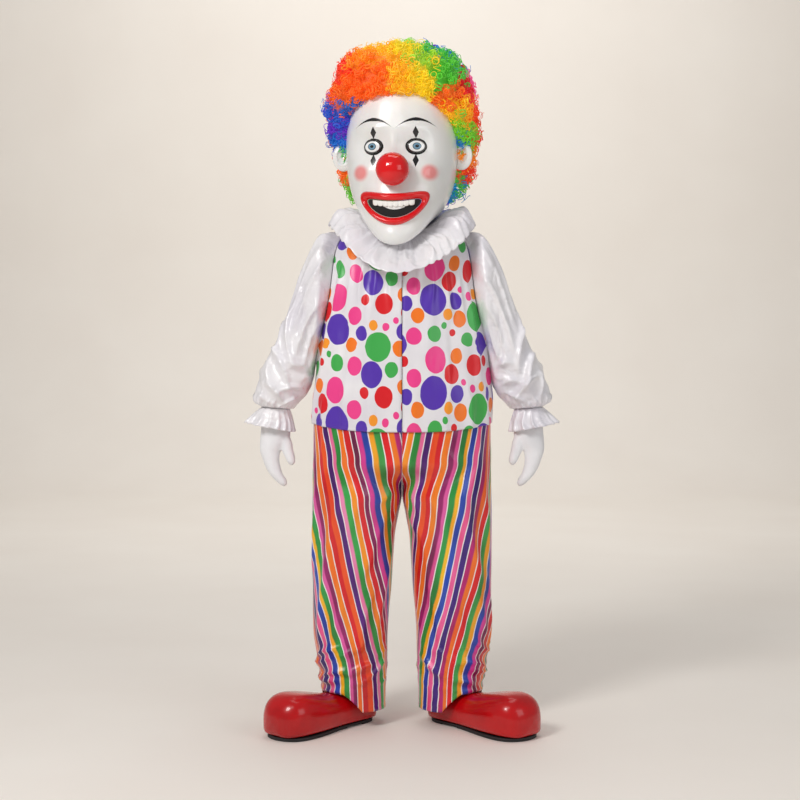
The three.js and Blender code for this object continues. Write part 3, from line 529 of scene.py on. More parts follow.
# The print's spots in a repeat: place across and up as shares of it, half height in mm, dye
SPOTS = [
    (0.49, 0.51, 47, "purple"), (0.02, 0.32, 45, "green"), (0.51, 0.85, 38, "pink"),
    (0.09, 0.02, 38, "purple"), (0.96, 0.79, 31, "red"), (0.69, 0.70, 29, "red"), (0.28, 0.11, 27, "pink"),
    (0.28, 0.66, 26, "pink"), (0.50, 0.14, 25, "green"), (0.88, 0.07, 23, "green"),
    (0.79, 0.30, 25, "orange"), (0.32, 0.34, 23, "orange"), (0.75, 0.89, 22, "orange"),
    (0.75, 0.49, 25, "purple"), (0.20, 0.47, 22, "purple"), (0.65, 0.35, 17, "amber"),
    (0.17, 0.83, 16, "red"), (0.07, 0.56, 15, "amber"), (0.94, 0.54, 12, "pink"), (0.71, 0.15, 11, "red"),
    (0.83, 0.61, 10, "pink"), (0.61, 0.23, 10, "green")]
SPOT_DYES = {"purple": "5530b0", "red": "dd0f1c", "green": "3fae4e", "orange": "f87a16",
             "amber": "fb9b25", "pink": "f2408f"}


def spotted_satin():
    dye = Dye("spotted_satin", Roughness=0.36, Sheen_Weight=0.1, Sheen_Roughness=0.35, Coat_Weight=0.1,
              Coat_Roughness=0.3)
    place = dye.place()
    wobble = dye.scaled(dye.node("TexNoise", None, {"Vector": place, "Scale": 26.0}, out=1), SPOT_WOBBLE)
    repeat = dye.scaled(dye.vector("ADD", dye.cloth(), wobble), 1 / SPOT_REPEAT)
    colour = dye.mottled(place, 6.0, 3.0, "edebee", "e2dfe7")
    for across, up, tall, name in SPOTS:
        away = dye.vector("SUBTRACT", repeat, (across - 0.5, up - 0.5, 0.0))
        away = dye.vector("SUBTRACT", dye.vector("FRACTION", away), (0.5, 0.5, 0.0))
        away = dye.vector("MULTIPLY", away, (SPOT_TALLNESS * SPOT_REPEAT, SPOT_REPEAT, 0.0))
        inside = dye.step(dye.length(away), tall / 1000 + SPOT_EDGE, tall / 1000 - SPOT_EDGE)
        colour = dye.blend(inside, colour, rgb(SPOT_DYES[name]))
    return dye.finish(colour, rumple(dye, place))


# The trouser print's stripes: width in mm and dye, with a white line after those that have one
LINE = 2.8
STRIPES = [
    (18, "e0141c", LINE), (17, "f2701a", 0), (14, "b3156a", LINE), (18, "3a1678", LINE), (16, "ef5b98", LINE),
    (17, "1f45b0", LINE), (13, "fbb61e", 0), (17, "27923f", LINE), (13, "e0559e", 0), (14, "8d1560", LINE),
    (18, "f57c17", LINE), (17, "d7121e", 0), (16, "f0541b", LINE), (17, "55107a", LINE), (13, "ee7fb0", 0),
    (17, "2f9c44", LINE), (16, "f98c1c", LINE), (18, "dd1a24", LINE), (14, "7c1350", LINE), (16, "d93a94", 0),
    (17, "2140a6", LINE), (16, "f4a01c", 0), (17, "3a9a46", LINE)]
LINE_WHITE = "f2ecec"
LINE_EDGE, STRIPE_EDGE = 0.5, 3.2
# A colour ramp takes 32 stops, so the print runs over several
RAMP_STOPS = 28


def stripe_stops():
    """The repeat's colours and their places in mm."""
    stops, at = [], 0.0
    for width, code, line in STRIPES:
        edge = LINE_EDGE if line else STRIPE_EDGE
        stops += [(at + LINE_EDGE, rgb(code)), (at + width - edge, rgb(code))]
        at += width
        if line:
            stops += [(at, rgb(LINE_WHITE)), (at + line - LINE_EDGE, rgb(LINE_WHITE))]
            at += line
    return stops


def striped_satin():
    dye = Dye("striped_satin", Roughness=0.32, Sheen_Weight=0.08, Sheen_Roughness=0.35, Coat_Weight=0.2,
              Coat_Roughness=0.25)
    place = dye.place()
    repeat = sum(width + line for width, _, line in STRIPES)
    across = dye.split(dye.cloth())[0]
    shake = dye.noise(place, 9.0, 1.0) * 0.004
    share = ((across + shake) * (1000 / repeat)).math("FRACT")
    stops = [(at / repeat, colour) for at, colour in stripe_stops()]
    colour = None
    for first in range(0, len(stops), RAMP_STOPS):
        part = stops[first:first + RAMP_STOPS + 1]
        start, end = part[0][0], part[-1][0]
        local = (share - start) * (1 / (end - start))
        shown = dye.ramp(local, [((at - start) / (end - start), dyed) for at, dyed in part])
        colour = shown if colour is None else dye.blend(dye.math("GREATER_THAN", share, start), colour, shown)
    # Painted sheen: stretched noise paints streaks of highlight and shade over the stripes
    painted_sheen = dye.step(dye.noise(dye.vector("MULTIPLY", place, (1.0, 1.0, 0.4)), 14.0, 2.0), 0.35, 0.65)
    colour = dye.blend(0.55, colour, dye.blend(painted_sheen, rgb("5a5a5a"), rgb("e0e0e0")), "SOFT_LIGHT")
    return dye.finish(colour, rumple(dye, place))


def gloss(name, code, darker, rough=0.12, coat=0.8, wave=0.0002):
    """A hard glossy finish with a faint unevenness."""
    dye = Dye(name, Roughness=rough, Coat_Weight=coat, Coat_Roughness=0.06, Specular_IOR_Level=0.35)
    place = dye.place()
    colour = dye.mottled(place, 8.0, 4.0, code, darker)
    return dye.finish(colour, [dye.noise(place, 14.0, 2.0) * wave])


# Painted marks in metres, across from the middle of the face and up
PAINT_EDGE = 0.0005
EYE_ACROSS, EYE_UP = 0.060, 1.662
EYE_FORM = (0.8, 1.0, 0.0)
BROW_ACROSS, BROW_UP, BROW_BOW, BROW_HALF, BROW_TAPER = 0.062, 1.738, 7.5, 0.0052, 0.095
DIAMONDS = ((1.701, 0.017), (1.623, 0.019))
DIAMOND_HALF = 0.0085
CHEEK_ACROSS, CHEEK_UP, CHEEK_OUT, CHEEK_IN = 0.098, 1.590, 0.029, 0.012


def face_paint():
    """White gloss with painted marks, placed across and up on the face."""
    dye = Dye("face_paint", Roughness=0.26, Coat_Weight=0.5, Coat_Roughness=0.12, Subsurface_Weight=0.05)
    place = dye.place()
    x, z = dye.split(dye.cloth())[:2]
    side = abs(x)
    fray = (dye.noise(place, 90.0, 2.0) - 0.5) * 0.0012

    def stroke(off, half):
        return dye.step(abs(off) - half + fray, PAINT_EDGE, -PAINT_EDGE)

    def away(across, up):
        return dye.node("CombineXYZ", None, {0: side - across, 1: z - up})

    bow = (side - BROW_ACROSS) * (side - BROW_ACROSS) * BROW_BOW
    marks = stroke(z - (BROW_UP - bow), BROW_HALF - abs(side - EYE_ACROSS) * BROW_TAPER)
    for centre, half in DIAMONDS:
        wide = (1 - abs((z - centre) / half)) * DIAMOND_HALF
        marks = marks.math("MAXIMUM", stroke(side - EYE_ACROSS, wide))
    rim = dye.length(dye.vector("MULTIPLY", away(EYE_ACROSS, EYE_UP), EYE_FORM))
    marks = marks.math("MAXIMUM", dye.step(rim + fray * 2, 0.0238, 0.0228))
    front = dye.step(dye.split(place)[1], 0.0, -0.02)
    blush = dye.step(dye.length(away(CHEEK_ACROSS, CHEEK_UP)), CHEEK_OUT, CHEEK_IN) * front * 0.75
    colour = dye.mottled(place, 7.0, 4.0, "f1efed", "e8e5e2", start=0.4)
    colour = dye.blend(blush, colour, rgb("ee5a5a"))
    colour = dye.blend(marks * front, colour, rgb("121013"))
    return dye.finish(colour, [dye.noise(place, 16.0, 2.0) * 0.0002])


IRIS, PUPIL = 0.0118, 0.0055


def eye_paint():
    """Glassy white with a grey iris and a dark pupil, about the middle of each eye."""
    dye = Dye("eye_paint", Roughness=0.08, Coat_Weight=1.0, Coat_Roughness=0.03)
    spot = dye.cloth()
    away = dye.length(spot)
    edge = dye.length(dye.vector("MULTIPLY", spot, EYE_FORM))
    iris = dye.blend(dye.noise(spot, 620.0, 2.0), rgb("3f6f92"), rgb("8fb4c8"))
    colour = dye.blend(dye.step(away, IRIS + 0.0004, IRIS - 0.0004), rgb("f0f2f2"), iris)
    colour = dye.blend(dye.step(abs(away - IRIS), 0.0012, 0.0004), colour, rgb("151b22"))
    colour = dye.blend(dye.step(away, PUPIL + 0.0003, PUPIL - 0.0003), colour, rgb("040404"))
    colour = dye.blend(dye.step(edge, 0.0168, 0.0180), colour, rgb("100e10"))
    return dye.finish(colour)


def plain_cloth(name, code, other, weave=500.0, rough=0.8, deep=0.00012):
    """A matt cloth with a small knit or weave of so many threads a metre."""
    dye = Dye(name, Roughness=rough, Sheen_Weight=0.25)
    place = dye.place()
    x, y, z = dye.split(place)
    threads = ((x + y) * (weave * 6.28)).math("SINE") * (z * (weave * 6.28)).math("SINE")
    colour = dye.mottled(place, 12.0, 4.0, code, other)
    return dye.finish(colour, [dye.noise(place, 28.0, 3.0) * 0.0006, threads * deep])


def sole_rubber():
    dye = Dye("sole_rubber", Roughness=0.62)
    grain = dye.noise(dye.place(), 240.0, 3.0)
    return dye.finish(dye.blend(grain, rgb("1a191a"), rgb("2b292b")), [grain * 0.0003])


def curly_hair():
    """Dyed fibres with a faint painted glow in their own dye, which brightens curls that shade one another.
    """
    dye = Dye("curly_hair", Roughness=0.45, Sheen_Weight=0.1, Specular_IOR_Level=0.4, Emission_Strength=0.3)
    tint = dye.node("Attribute", {"attribute_name": "tint"}, out="Color")
    fibres = dye.noise(dye.place(), 120.0, 3.0, twist=1.6)
    darker = dye.blend(1.0, tint, rgb("b4b4b4"), "MULTIPLY")
    colour = dye.blend(dye.step(fibres, 0.35, 0.65) * 0.4, tint, darker)
    # The tint also feeds the emission: a painted glow
    return dye.finish(colour, [fibres * 0.0012], Emission_Color=tint)


WHITE = white_satin()
SPOTTED = spotted_satin()
STRIPED = striped_satin()
FACE = face_paint()
EYE = eye_paint()
RED_GLOSS = gloss("red_gloss", "e20c14", "d20a12", coat=0.5)
SHOE_RED = gloss("shoe_leather", "c4060e", "ab040b", rough=0.26, coat=0.3, wave=0.0005)
TOOTH = gloss("tooth", "f4f3ef", "edebe5", rough=0.22, coat=0.5)
GAUZE = plain_cloth("mouth_gauze", "0c0b0c", "151315", weave=420.0, rough=0.85)
COTTON = plain_cloth("glove_cotton", "efeff2", "e4e4e8", weave=650.0, rough=0.72, deep=0.00005)
ELASTIC = plain_cloth("elastic_band", "e9e6e2", "d9d5d0", weave=330.0)
RUBBER = sole_rubber()
HAIR = curly_hair()


# Head, made facing forward and then turned

MASK = table(
    "side_z front_z back_z half front back",
    (1420, 1408, 1428, 71.6, 71.6, 71.6), (1448, 1441, 1455, 71.6, 71.6, 71.6),
    (1464, 1418, 1470, 88, 110, 85), (1478, 1388, 1484, 106, 152, 100), (1500, 1404, 1506, 122, 168, 116),
    (1530, 1446, 1542, 138, 172, 134), (1565, 1508, 1586, 150, 172, 148), (1605, 1574, 1632, 157, 168, 158),
    (1650, 1640, 1676, 160, 163, 164), (1702, 1706, 1722, 159, 162, 167), (1757, 1766, 1770, 152, 155, 163),
    (1808, 1820, 1816, 136, 138, 147), (1855, 1862, 1858, 104, 104, 113), (1886, 1889, 1887, 58, 58, 64),
    (1900, 1900, 1900, 0, 0, 0))
MASK_TOP = 14
MASK_POWER = 0.94
# Humps and hollows of the face: place across and up, half width, half height, how far out
RELIEF = [(60, 1716, 46, 17, 8), (60, 1664, 34, 26, -9), (98, 1592, 38, 32, 11), (0, 1662, 16, 40, 9),
          (0, 1500, 74, 46, 8), (0, 1412, 40, 22, 9)]
HEAD_WALL = 3
HEAD_SEAM_Y, HEAD_HALF_SEAM = 34, 0.15
# Distance of the lips and the eyes from the face
SET_OFF = 0.35
NOSE_RADIUS, NOSE_Z = 47, 1596
EYES = {"x": 60, "z": 1662, "half": 25, "high": 20}
MOUTH = {"z": 1486, "half": 76, "high": 23, "lift": 24}
LIP_WIDTH, LIP_SWELL = 21, 9
TEETH = {"count": 8, "half": 58, "high": 15}
EAR = {"x": 172, "y": 6, "z": 1648, "half": 32, "deep": 12, "high": 41, "tilt": 14}


def mask_point(deg, t):
    p = ring(MASK, t, deg, MASK_POWER)
    fade = ease(0.05, 0.35, np.cos(np.radians(deg))) * ease(2, 3, t)
    for x, z, wide, high, out in RELIEF:
        p[..., 1] -= out * fade * hump(np.abs(p[..., 0]) - x, wide) * hump(p[..., 2] - z, high)
    return p


def face_point(x, z):
    """The point of the face at a place across and up, found by halving."""
    x, z = np.broadcast_arrays(np.asarray(x, float), np.asarray(z, float))
    low, high = np.full(x.shape, 2.0), np.full(x.shape, MASK_TOP - 0.2)
    for _ in range(26):
        t = (low + high) / 2
        deg = np.degrees(np.arcsin(bend(np.clip(x / along(MASK["half"], t), -1, 1), 1 / MASK_POWER)))
        below = ring(MASK, t, deg, MASK_POWER)[..., 2] < z
        low, high = np.where(below, t, low), np.where(below, high, t)
    return mask_point(deg, (low + high) / 2)


def mouth_point(turn, grow, scale):
    x = (MOUTH["half"] + grow) * scale * np.cos(turn)
    rise = MOUTH["lift"] * (x / MOUTH["half"]) ** 2
    return face_point(x, MOUTH["z"] + rise + (MOUTH["high"] + grow) * scale * np.sin(turn))


def halves(obj, name_back):
    """The shell cut in two along the seam behind the ears."""
    back = placed(name_back, obj.data.copy())
    for part, sign in ((obj, 1), (back, -1)):
        seam = (0, (HEAD_SEAM_Y - sign * HEAD_HALF_SEAM) / 1000, 0)
        edit = opened(part)
        bmesh.ops.contextual_create(edit, geom=sliced(edit, seam, (0, sign, 0)))
        bmesh.ops.triangulate(edit, faces=[f for f in edit.faces if len(f.verts) > 4])
        bmesh.ops.recalc_face_normals(edit, faces=edit.faces)
        stored(edit, part)
        part.data.set_sharp_from_angle(angle=np.radians(50))
    return obj, back


def make_mask():
    u, v = grid(104, 88)
    skin = mask_point(u * 360, v * MASK_TOP)
    shell = cloth_mesh("face_shell", skin, 0, -HEAD_WALL, skin[..., [0, 2]], closed=True)
    edge = mouth_point(np.linspace(0, TURN, 73), 0, 1)
    cut(shell, closed_skin("mouth_hole", np.stack([edge + [0, 14, 0], edge - [0, 14, 0]])))
    face, back = halves(tidy(shell), "back_shell")
    worn(turned_head(face), "mask_face", "mask", FACE)
    worn(turned_head(back), "mask_back", "mask", FACE)


def make_lips():
    u, v = grid(120, 14)
    base = mouth_point(u * TURN, mix(LIP_WIDTH, 0.6, v), 1)
    swell = 1.6 + LIP_SWELL * np.sin(np.pi * v) ** 0.85
    lips = cloth_mesh("lips_gloss", base, swell, SET_OFF, base[..., [0, 2]], closed=True)
    worn(turned_head(lips), "lips", "gloss_red", RED_GLOSS)


def make_gauze():
    u, v = grid(64, 14)
    base = mouth_point(u * TURN, -0.6, np.maximum(1 - v, 0))
    gauze = cloth_mesh("gauze_panel", base, -1.1, -2.6, closed=True)
    worn(turned_head(gauze), "mouth_gauze", "gauze", GAUZE)


def make_teeth():
    u, v = grid(TEETH["count"] * 14, 10)
    x = mix(-TEETH["half"], TEETH["half"], u)
    share = x / MOUTH["half"]
    edge = MOUTH["z"] + MOUTH["lift"] * share ** 2 + MOUTH["high"] * np.sqrt(1 - share ** 2) - 2
    tooth = np.abs(np.sin(np.pi * TEETH["count"] * u))
    base = face_point(x, edge - (1 - v) * TEETH["high"] * (0.72 + 0.28 * tooth ** 0.5))
    swell = 3 + 2.2 * tooth ** 0.6 - 1.44 * (1 - v) ** 6
    teeth = cloth_mesh("tooth_row", base, swell, -0.7, base[..., [0, 2]])
    worn(turned_head(teeth), "teeth", "teeth", TOOTH)


def make_nose():
    tip = face_point(0, NOSE_Z) - [0, NOSE_RADIUS * 0.6, 0]
    form = tip + NOSE_RADIUS * ball(72, 40)[..., [0, 2, 1]] * [1, 1, -1]
    seat = face_point(form[..., 0], form[..., 2])[..., 1] - 0.4
    form[..., 1] = np.minimum(form[..., 1], seat)
    worn(turned_head(closed_skin("nose_ball", form)), "nose", "gloss_red", RED_GLOSS)


def make_eyes():
    u, v = grid(56, 14)
    r = 1 - v
    off_x, off_z = EYES["half"] * r * np.cos(u * TURN), EYES["high"] * r * np.sin(u * TURN)
    swell = 4 + 8 * np.sqrt(np.maximum(0, 1 - r * r))
    for name, side in SIDES:
        base = face_point(side * EYES["x"] + off_x, EYES["z"] + off_z)
        spot = xyz(off_x, off_z, 0)[..., :2]
        eye = cloth_mesh(f"eye_glass_{name}", base, swell, SET_OFF, spot, closed=True)
        worn(turned_head(eye), f"eye_{name}", "eye", EYE)


def make_ears():
    form = ball(56, 40)
    x, z = form[..., 0], form[..., 2]
    for name, side in SIDES:
        y = form[..., 1]
        r2 = (side * x - 0.12) ** 2 * 1.5 + (z - 0.02) ** 2 * 1.25
        dish = np.clip(1 - r2 / 0.42, 0, 1) ** 0.7 * (y < 0)
        ridge = 0.14 * hump(np.sqrt(r2) - 0.28, 0.09) * (y < 0) * (z > -0.3)
        y = y * (1 - 0.95 * dish) - ridge
        p = xyz(EAR["half"] * x, EAR["deep"] * y, EAR["high"] * z)
        tilt = np.radians(side * -EAR["tilt"])
        p = xyz(p[..., 0] * np.cos(tilt) - p[..., 1] * np.sin(tilt) + side * EAR["x"],
                p[..., 0] * np.sin(tilt) + p[..., 1] * np.cos(tilt) + EAR["y"], p[..., 2] + EAR["z"])
        t = place_of(MASK["side_z"], p[..., 2])
        head_x = along(MASK["half"], t) * np.maximum(0, 1 - (p[..., 1] / 160) ** 2) ** 0.47 + 0.5
        p[..., 0] = side * np.maximum(side * p[..., 0], head_x)
        worn(turned_head(closed_skin(f"ear_{name}_form", p)), f"ear_{name}", "mask", FACE)


# Wig

# How far the hair reaches down from the crown, from the forehead to the nape, in degrees
HAIR_EDGE = np.array([104, 103, 104, 106, 107, 114, 129, 124, 116], float)
HAIR_HEART = np.array([0.0, 22.0, 1739.0])
HAIR_LEAN = np.radians(40)
HAIR_HALF, HAIR_DEEP, HAIR_UP, HAIR_DOWN = 208, 206, 228, 246
HAIR_POWER = 2.8
# Dyed tufts of the wig: direction from its heart, and colour
TUFTS = [
    (-0.98, -0.20, 0.50, "e8232f"), (-1.00, 0.05, 0.30, "ee2f6a"), (-0.80, -0.40, 0.66, "f23a1c"),
    (-0.78, -0.62, 0.34, "fb6a12"), (-0.50, -0.80, 0.50, "fb6410"), (-0.22, -0.84, 0.56, "fc6c0e"),
    (-0.45, -0.60, 0.84, "fc8c10"), (-0.16, -0.62, 0.88, "fda815"), (-0.30, -0.34, 1.00, "fbc51c"),
    (0.10, -0.84, 0.56, "fcb416"), (0.12, -0.50, 0.96, "e9cf1e"), (0.34, -0.78, 0.56, "f2cc18"),
    (0.36, -0.62, 0.78, "9ccc2c"), (0.62, -0.62, 0.62, "55bf32"), (0.48, -0.40, 0.90, "3fb548"),
    (0.72, -0.44, 0.60, "4dbb3c"), (0.14, -0.10, 1.10, "8fd046"), (0.34, -0.08, 1.00, "2f62d0"),
    (0.46, 0.10, 0.92, "6a3fc8"), (0.60, -0.20, 0.82, "1f7ccf"), (-0.10, 0.05, 1.10, "e6e23a"),
    (-0.42, 0.15, 0.95, "f98a14"), (0.86, -0.34, 0.40, "d81c26"), (0.74, -0.60, 0.30, "f06a14"),
    (0.90, -0.30, 0.14, "f9a416"), (0.80, -0.52, 0.12, "f6bc18"), (1.00, -0.06, 0.10, "f04a1c"),
    (0.96, -0.24, -0.10, "7cc62e"), (0.78, -0.58, -0.06, "8acb2c"), (1.00, -0.04, -0.22, "6cc234"),
    (0.70, -0.66, -0.14, "1a66c4"), (0.76, -0.56, -0.28, "6a30c0"), (0.90, -0.30, -0.34, "1a7cc4"),
    (0.74, -0.50, -0.46, "6a34bf"), (-0.72, -0.66, 0.14, "1c5fb8"), (-0.88, -0.44, 0.08, "2a58c8"),
    (-0.76, -0.60, -0.04, "5a34bc"), (-0.92, -0.34, -0.10, "6c2fc0"), (-0.84, -0.46, -0.24, "6a34c4"),
    (-0.94, -0.26, -0.30, "1f6fca"), (-0.84, -0.36, -0.42, "1583bd"), (-0.92, -0.16, -0.52, "4fb65c"),
    (-1.00, 0.06, -0.10, "3b50c0"), (-0.78, 0.00, -0.66, "f06a1c"), (-0.66, 0.10, -0.80, "6cc03a"),
    (-0.90, 0.20, -0.40, "d42f3a"), (0.92, 0.02, -0.56, "f28a1a"), (0.86, 0.10, -0.68, "ea3a20"),
    (0.76, 0.14, -0.80, "4cb648"), (0.66, 0.20, -0.88, "1a86c0"), (0.56, 0.26, -0.96, "5c34bc"),
    (0.88, 0.26, -0.20, "e0402a"), (0.74, 0.50, -0.34, "f4961e"), (0.62, 0.66, -0.42, "3fae50"),
    (0.40, 0.82, -0.50, "1f8fb8"), (0.05, 0.90, -0.58, "5a3cbc"), (-0.35, 0.84, -0.50, "2a5ac8"),
    (-0.66, 0.62, -0.40, "f0641c"), (-0.80, 0.45, -0.05, "f6bc20"), (-0.72, 0.62, 0.28, "5cb83c"),
    (-0.36, 0.88, 0.12, "e02a3c"), (0.00, 0.98, 0.05, "f98818"), (0.36, 0.90, 0.12, "f6cc20"),
    (0.72, 0.66, 0.22, "8cc834"), (-0.30, 0.70, 0.62, "1f96b0"), (0.14, 0.72, 0.66, "6c38c0"),
    (0.52, 0.55, 0.62, "2f5fd0"), (-0.68, 0.30, 0.62, "ee4f92"), (0.80, 0.20, 0.52, "ee5a98")]
# Layers of ringlets: name, count on the hair's surface and on its rim by the face, lowest and highest
# place over the surface, form in metres
WIG_LAYERS = [
    ("wig_curls_a", 1300, 310, -15, -4,
     {"radius": 0.0078, "thick": 0.0018, "height": 0.013, "turns": 1.8, "sides": 3, "steps": 8}),
    ("wig_curls_b", 1300, 310, -11, -1,
     {"radius": 0.0056, "thick": 0.0015, "height": 0.014, "turns": 2.1, "sides": 3, "steps": 7}),
    ("wig_wisps", 1150, 230, -9, 3,
     {"radius": 0.0080, "thick": 0.0008, "height": 0.015, "turns": 1.4, "sides": 3, "steps": 10}),
]


def hair_surface(u, v, depth=1.0, clump=0.0):
    """Points of the hair's surface and their directions from its heart."""
    around = u * TURN
    down = np.radians(along(HAIR_EDGE, (1 - np.abs(1 - 2 * u)) * 8)) * (1 - v)
    s, c = np.sin(down), np.cos(down)
    ahead = s * np.cos(around)
    d = xyz(s * np.sin(around), c * np.sin(HAIR_LEAN) - ahead * np.cos(HAIR_LEAN),
            c * np.cos(HAIR_LEAN) + ahead * np.sin(HAIR_LEAN))
    x, y, z = d[..., 0], d[..., 1], d[..., 2]
    shares = np.abs(d / xyz(HAIR_HALF, HAIR_DEEP, np.where(z > 0, HAIR_UP, HAIR_DOWN))) ** HAIR_POWER
    plain = shares.sum(-1) ** (-1 / HAIR_POWER)
    tuft = 9 * np.sin(6 * x + 1) * np.cos(7 * z + 4 * y) + 3.6 * np.sin(11 * y)
    tuft = tuft + clump * np.sin(21 * x + 3 * y) * np.sin(19 * z + 5 * x)
    return HAIR_HEART + d * ((plain + tuft) * depth)[..., None], d


def tuft_colours(direction):
    """Each point takes the dye of the tuft it is nearest to, with an uneven border."""
    ways = np.array([way for *way, _ in TUFTS])
    dyes = np.array([rgb(code) for *_, code in TUFTS])
    ways = ways / np.linalg.norm(ways, axis=1, keepdims=True)
    away = direction / np.linalg.norm(direction, axis=-1, keepdims=True)
    score = ((away[:, None] - ways[None]) ** 2).sum(-1) + chance.normal(0, 0.022, (len(away), len(TUFTS)))
    return np.clip(dyes[score.argmin(1)] * chance.uniform(0.9, 1.25, (len(away), 1)), 0, 1)


def tinted(obj, colours):
    layer = obj.data.color_attributes.new("tint", "FLOAT_COLOR", "POINT")
    layer.data.foreach_set("color", np.column_stack([colours, np.ones(len(colours))]).ravel())


def ringlet_tree(name, radius, thick, height, turns, sides, steps):
    """Nodes that put a ringlet on each point, turned and sized by the point's own values."""
    tree = bpy.data.node_groups.new(name, "GeometryNodeTree")
    face = tree.interface
    face.new_socket("Geometry", in_out="INPUT", socket_type="NodeSocketGeometry")
    wanted = {}
    for label, value in (("Radius", radius), ("Thickness", thick), ("Height", height), ("Turns", turns)):
        socket = face.new_socket(label, in_out="INPUT", socket_type="NodeSocketFloat")
        wanted[socket.identifier] = value
    face.new_socket("Geometry", in_out="OUTPUT", socket_type="NodeSocketGeometry")

    def add(kind, **inputs):
        node = tree.nodes.new("GeometryNode" + kind)
        if "data_type" in inputs:
            node.data_type = inputs.pop("data_type")
        for label, value in inputs.items():
            socket = node.inputs[label.replace("_", " ")]
            if isinstance(value, bpy.types.NodeSocket):
                tree.links.new(value, socket)
            else:
                socket.default_value = value
        return next(socket for socket in node.outputs if socket.enabled)

    given = tree.nodes.new("NodeGroupInput").outputs
    spiral = add("CurveSpiral", Resolution=steps, Rotations=given["Turns"], Start_Radius=given["Radius"],
                 End_Radius=given["Radius"], Height=given["Height"])
    profile = add("CurvePrimitiveCircle", Resolution=sides, Radius=given["Thickness"])
    tube = add("CurveToMesh", Curve=spiral, Profile_Curve=profile, Fill_Caps=True)
    put = add("InstanceOnPoints", Points=given["Geometry"], Instance=tube,
              Rotation=add("InputNamedAttribute", data_type="FLOAT_VECTOR", Name="lie"),
              Scale=add("InputNamedAttribute", data_type="FLOAT", Name="size"))
    painted = add("SetMaterial", Geometry=add("RealizeInstances", Geometry=put), Material=HAIR)
    tree.links.new(painted, tree.nodes.new("NodeGroupOutput").inputs[0])
    return tree, wanted


def curls(name, points, lie, size, colours, **shape):
    """Ringlets on the points, as one joined mesh."""
    obj = mesh_object(name, points, [])
    obj.data.attributes.new("lie", "FLOAT_VECTOR", "POINT").data.foreach_set("vector", lie.ravel())
    obj.data.attributes.new("size", "FLOAT", "POINT").data.foreach_set("value", size)
    tinted(obj, colours)
    tree, wanted = ringlet_tree(name + "_nodes", **shape)
    step = obj.modifiers.new("curls", "NODES")
    step.node_group = tree
    for key, value in wanted.items():
        step[key] = value
    return smooth(applied(obj))


def wig_lining(outer, way):
    """Points under the hair, just over the head where it is there."""
    u, v = grid(64, 48)
    head = mask_point(u * 360, v * MASK_TOP)
    skull = BVHTree.FromPolygons(head.reshape(-1, 3).tolist(), grid_faces(numbered(head)).tolist())
    inner = np.empty(outer.shape)
    for place in np.ndindex(outer.shape[:2]):
        hit = skull.ray_cast(outer[place].tolist(), (-way[place]).tolist())[0]
        reach = np.linalg.norm(outer[place] - HAIR_HEART)
        depth = np.linalg.norm(np.array(hit) - HAIR_HEART) + 1.2 if hit else reach - 40
        inner[place] = HAIR_HEART + way[place] * min(depth, reach - 4)
    return inner


def on_hair(count, low, high):
    """Uneven places over the hair's surface, as dense at the crown as at the rim."""
    pick_u, pick_v = chance.uniform(0, 1, count * 3), chance.uniform(0, 1, count * 3)
    kept = np.sin(np.radians(110) * (1 - pick_v)) > chance.uniform(0, 1, count * 3)
    points, way = hair_surface(pick_u[kept][:count], pick_v[kept][:count], 1.0, 5.0)
    return points + way * chance.uniform(low, high, len(way))[:, None]


def on_rim(count, outer, inner):
    """Uneven places along the hair's rim, from the head outward."""
    down = outer[0] - outer[1]
    down /= np.linalg.norm(down, axis=1, keepdims=True)
    place = chance.integers(0, len(down) - 1, count)
    share = chance.uniform(0.0, 1.12, count)[:, None]
    edge = mix(inner[0][place], outer[0][place], share) + down[place] * chance.uniform(0, 7, count)[:, None]
    return edge + chance.uniform(-5, 5, edge.shape)


def make_wig():
    u, v = grid(96, 48)
    outer, way = hair_surface(u, v, 0.9)
    inner = wig_lining(outer, way)
    base = solid_mesh("wig_base", outer, inner, closed=True)
    # The lining under the curls is painted a fifth darker than their dyes, as painted shade
    tinted(base, tuft_colours(points_of(base) - HAIR_HEART) * 0.8)
    worn(turned_head(base), "wig", "hair", HAIR)
    for name, count, at_rim, low, high, shape in WIG_LAYERS:
        points = np.concatenate([on_hair(count, low, high), on_rim(at_rim, outer, inner)])
        lie = chance.uniform(0, TURN, (len(points), 3))
        size = chance.uniform(0.7, 1.3, len(points))
        obj = curls(name, points, lie, size, tuft_colours(points - HAIR_HEART), **shape)
        worn(turned_head(obj), "wig", "hair", HAIR)


# Ruff

RUFF = table(
    "front front_z half side_z back back_z wave",
    (212, 1309, 212, 1452, 204, 1472, 11), (178, 1337, 176, 1486, 172, 1497, 9),
    (132, 1374, 128, 1481, 126, 1489, 5), (74.6, 1426.2, 74.6, 1442.2, 74.6, 1450.1, 0))
RUFF_GIRTH, RUFF_DEPTH = 1200, 170
RUFF_PLEATS = 40
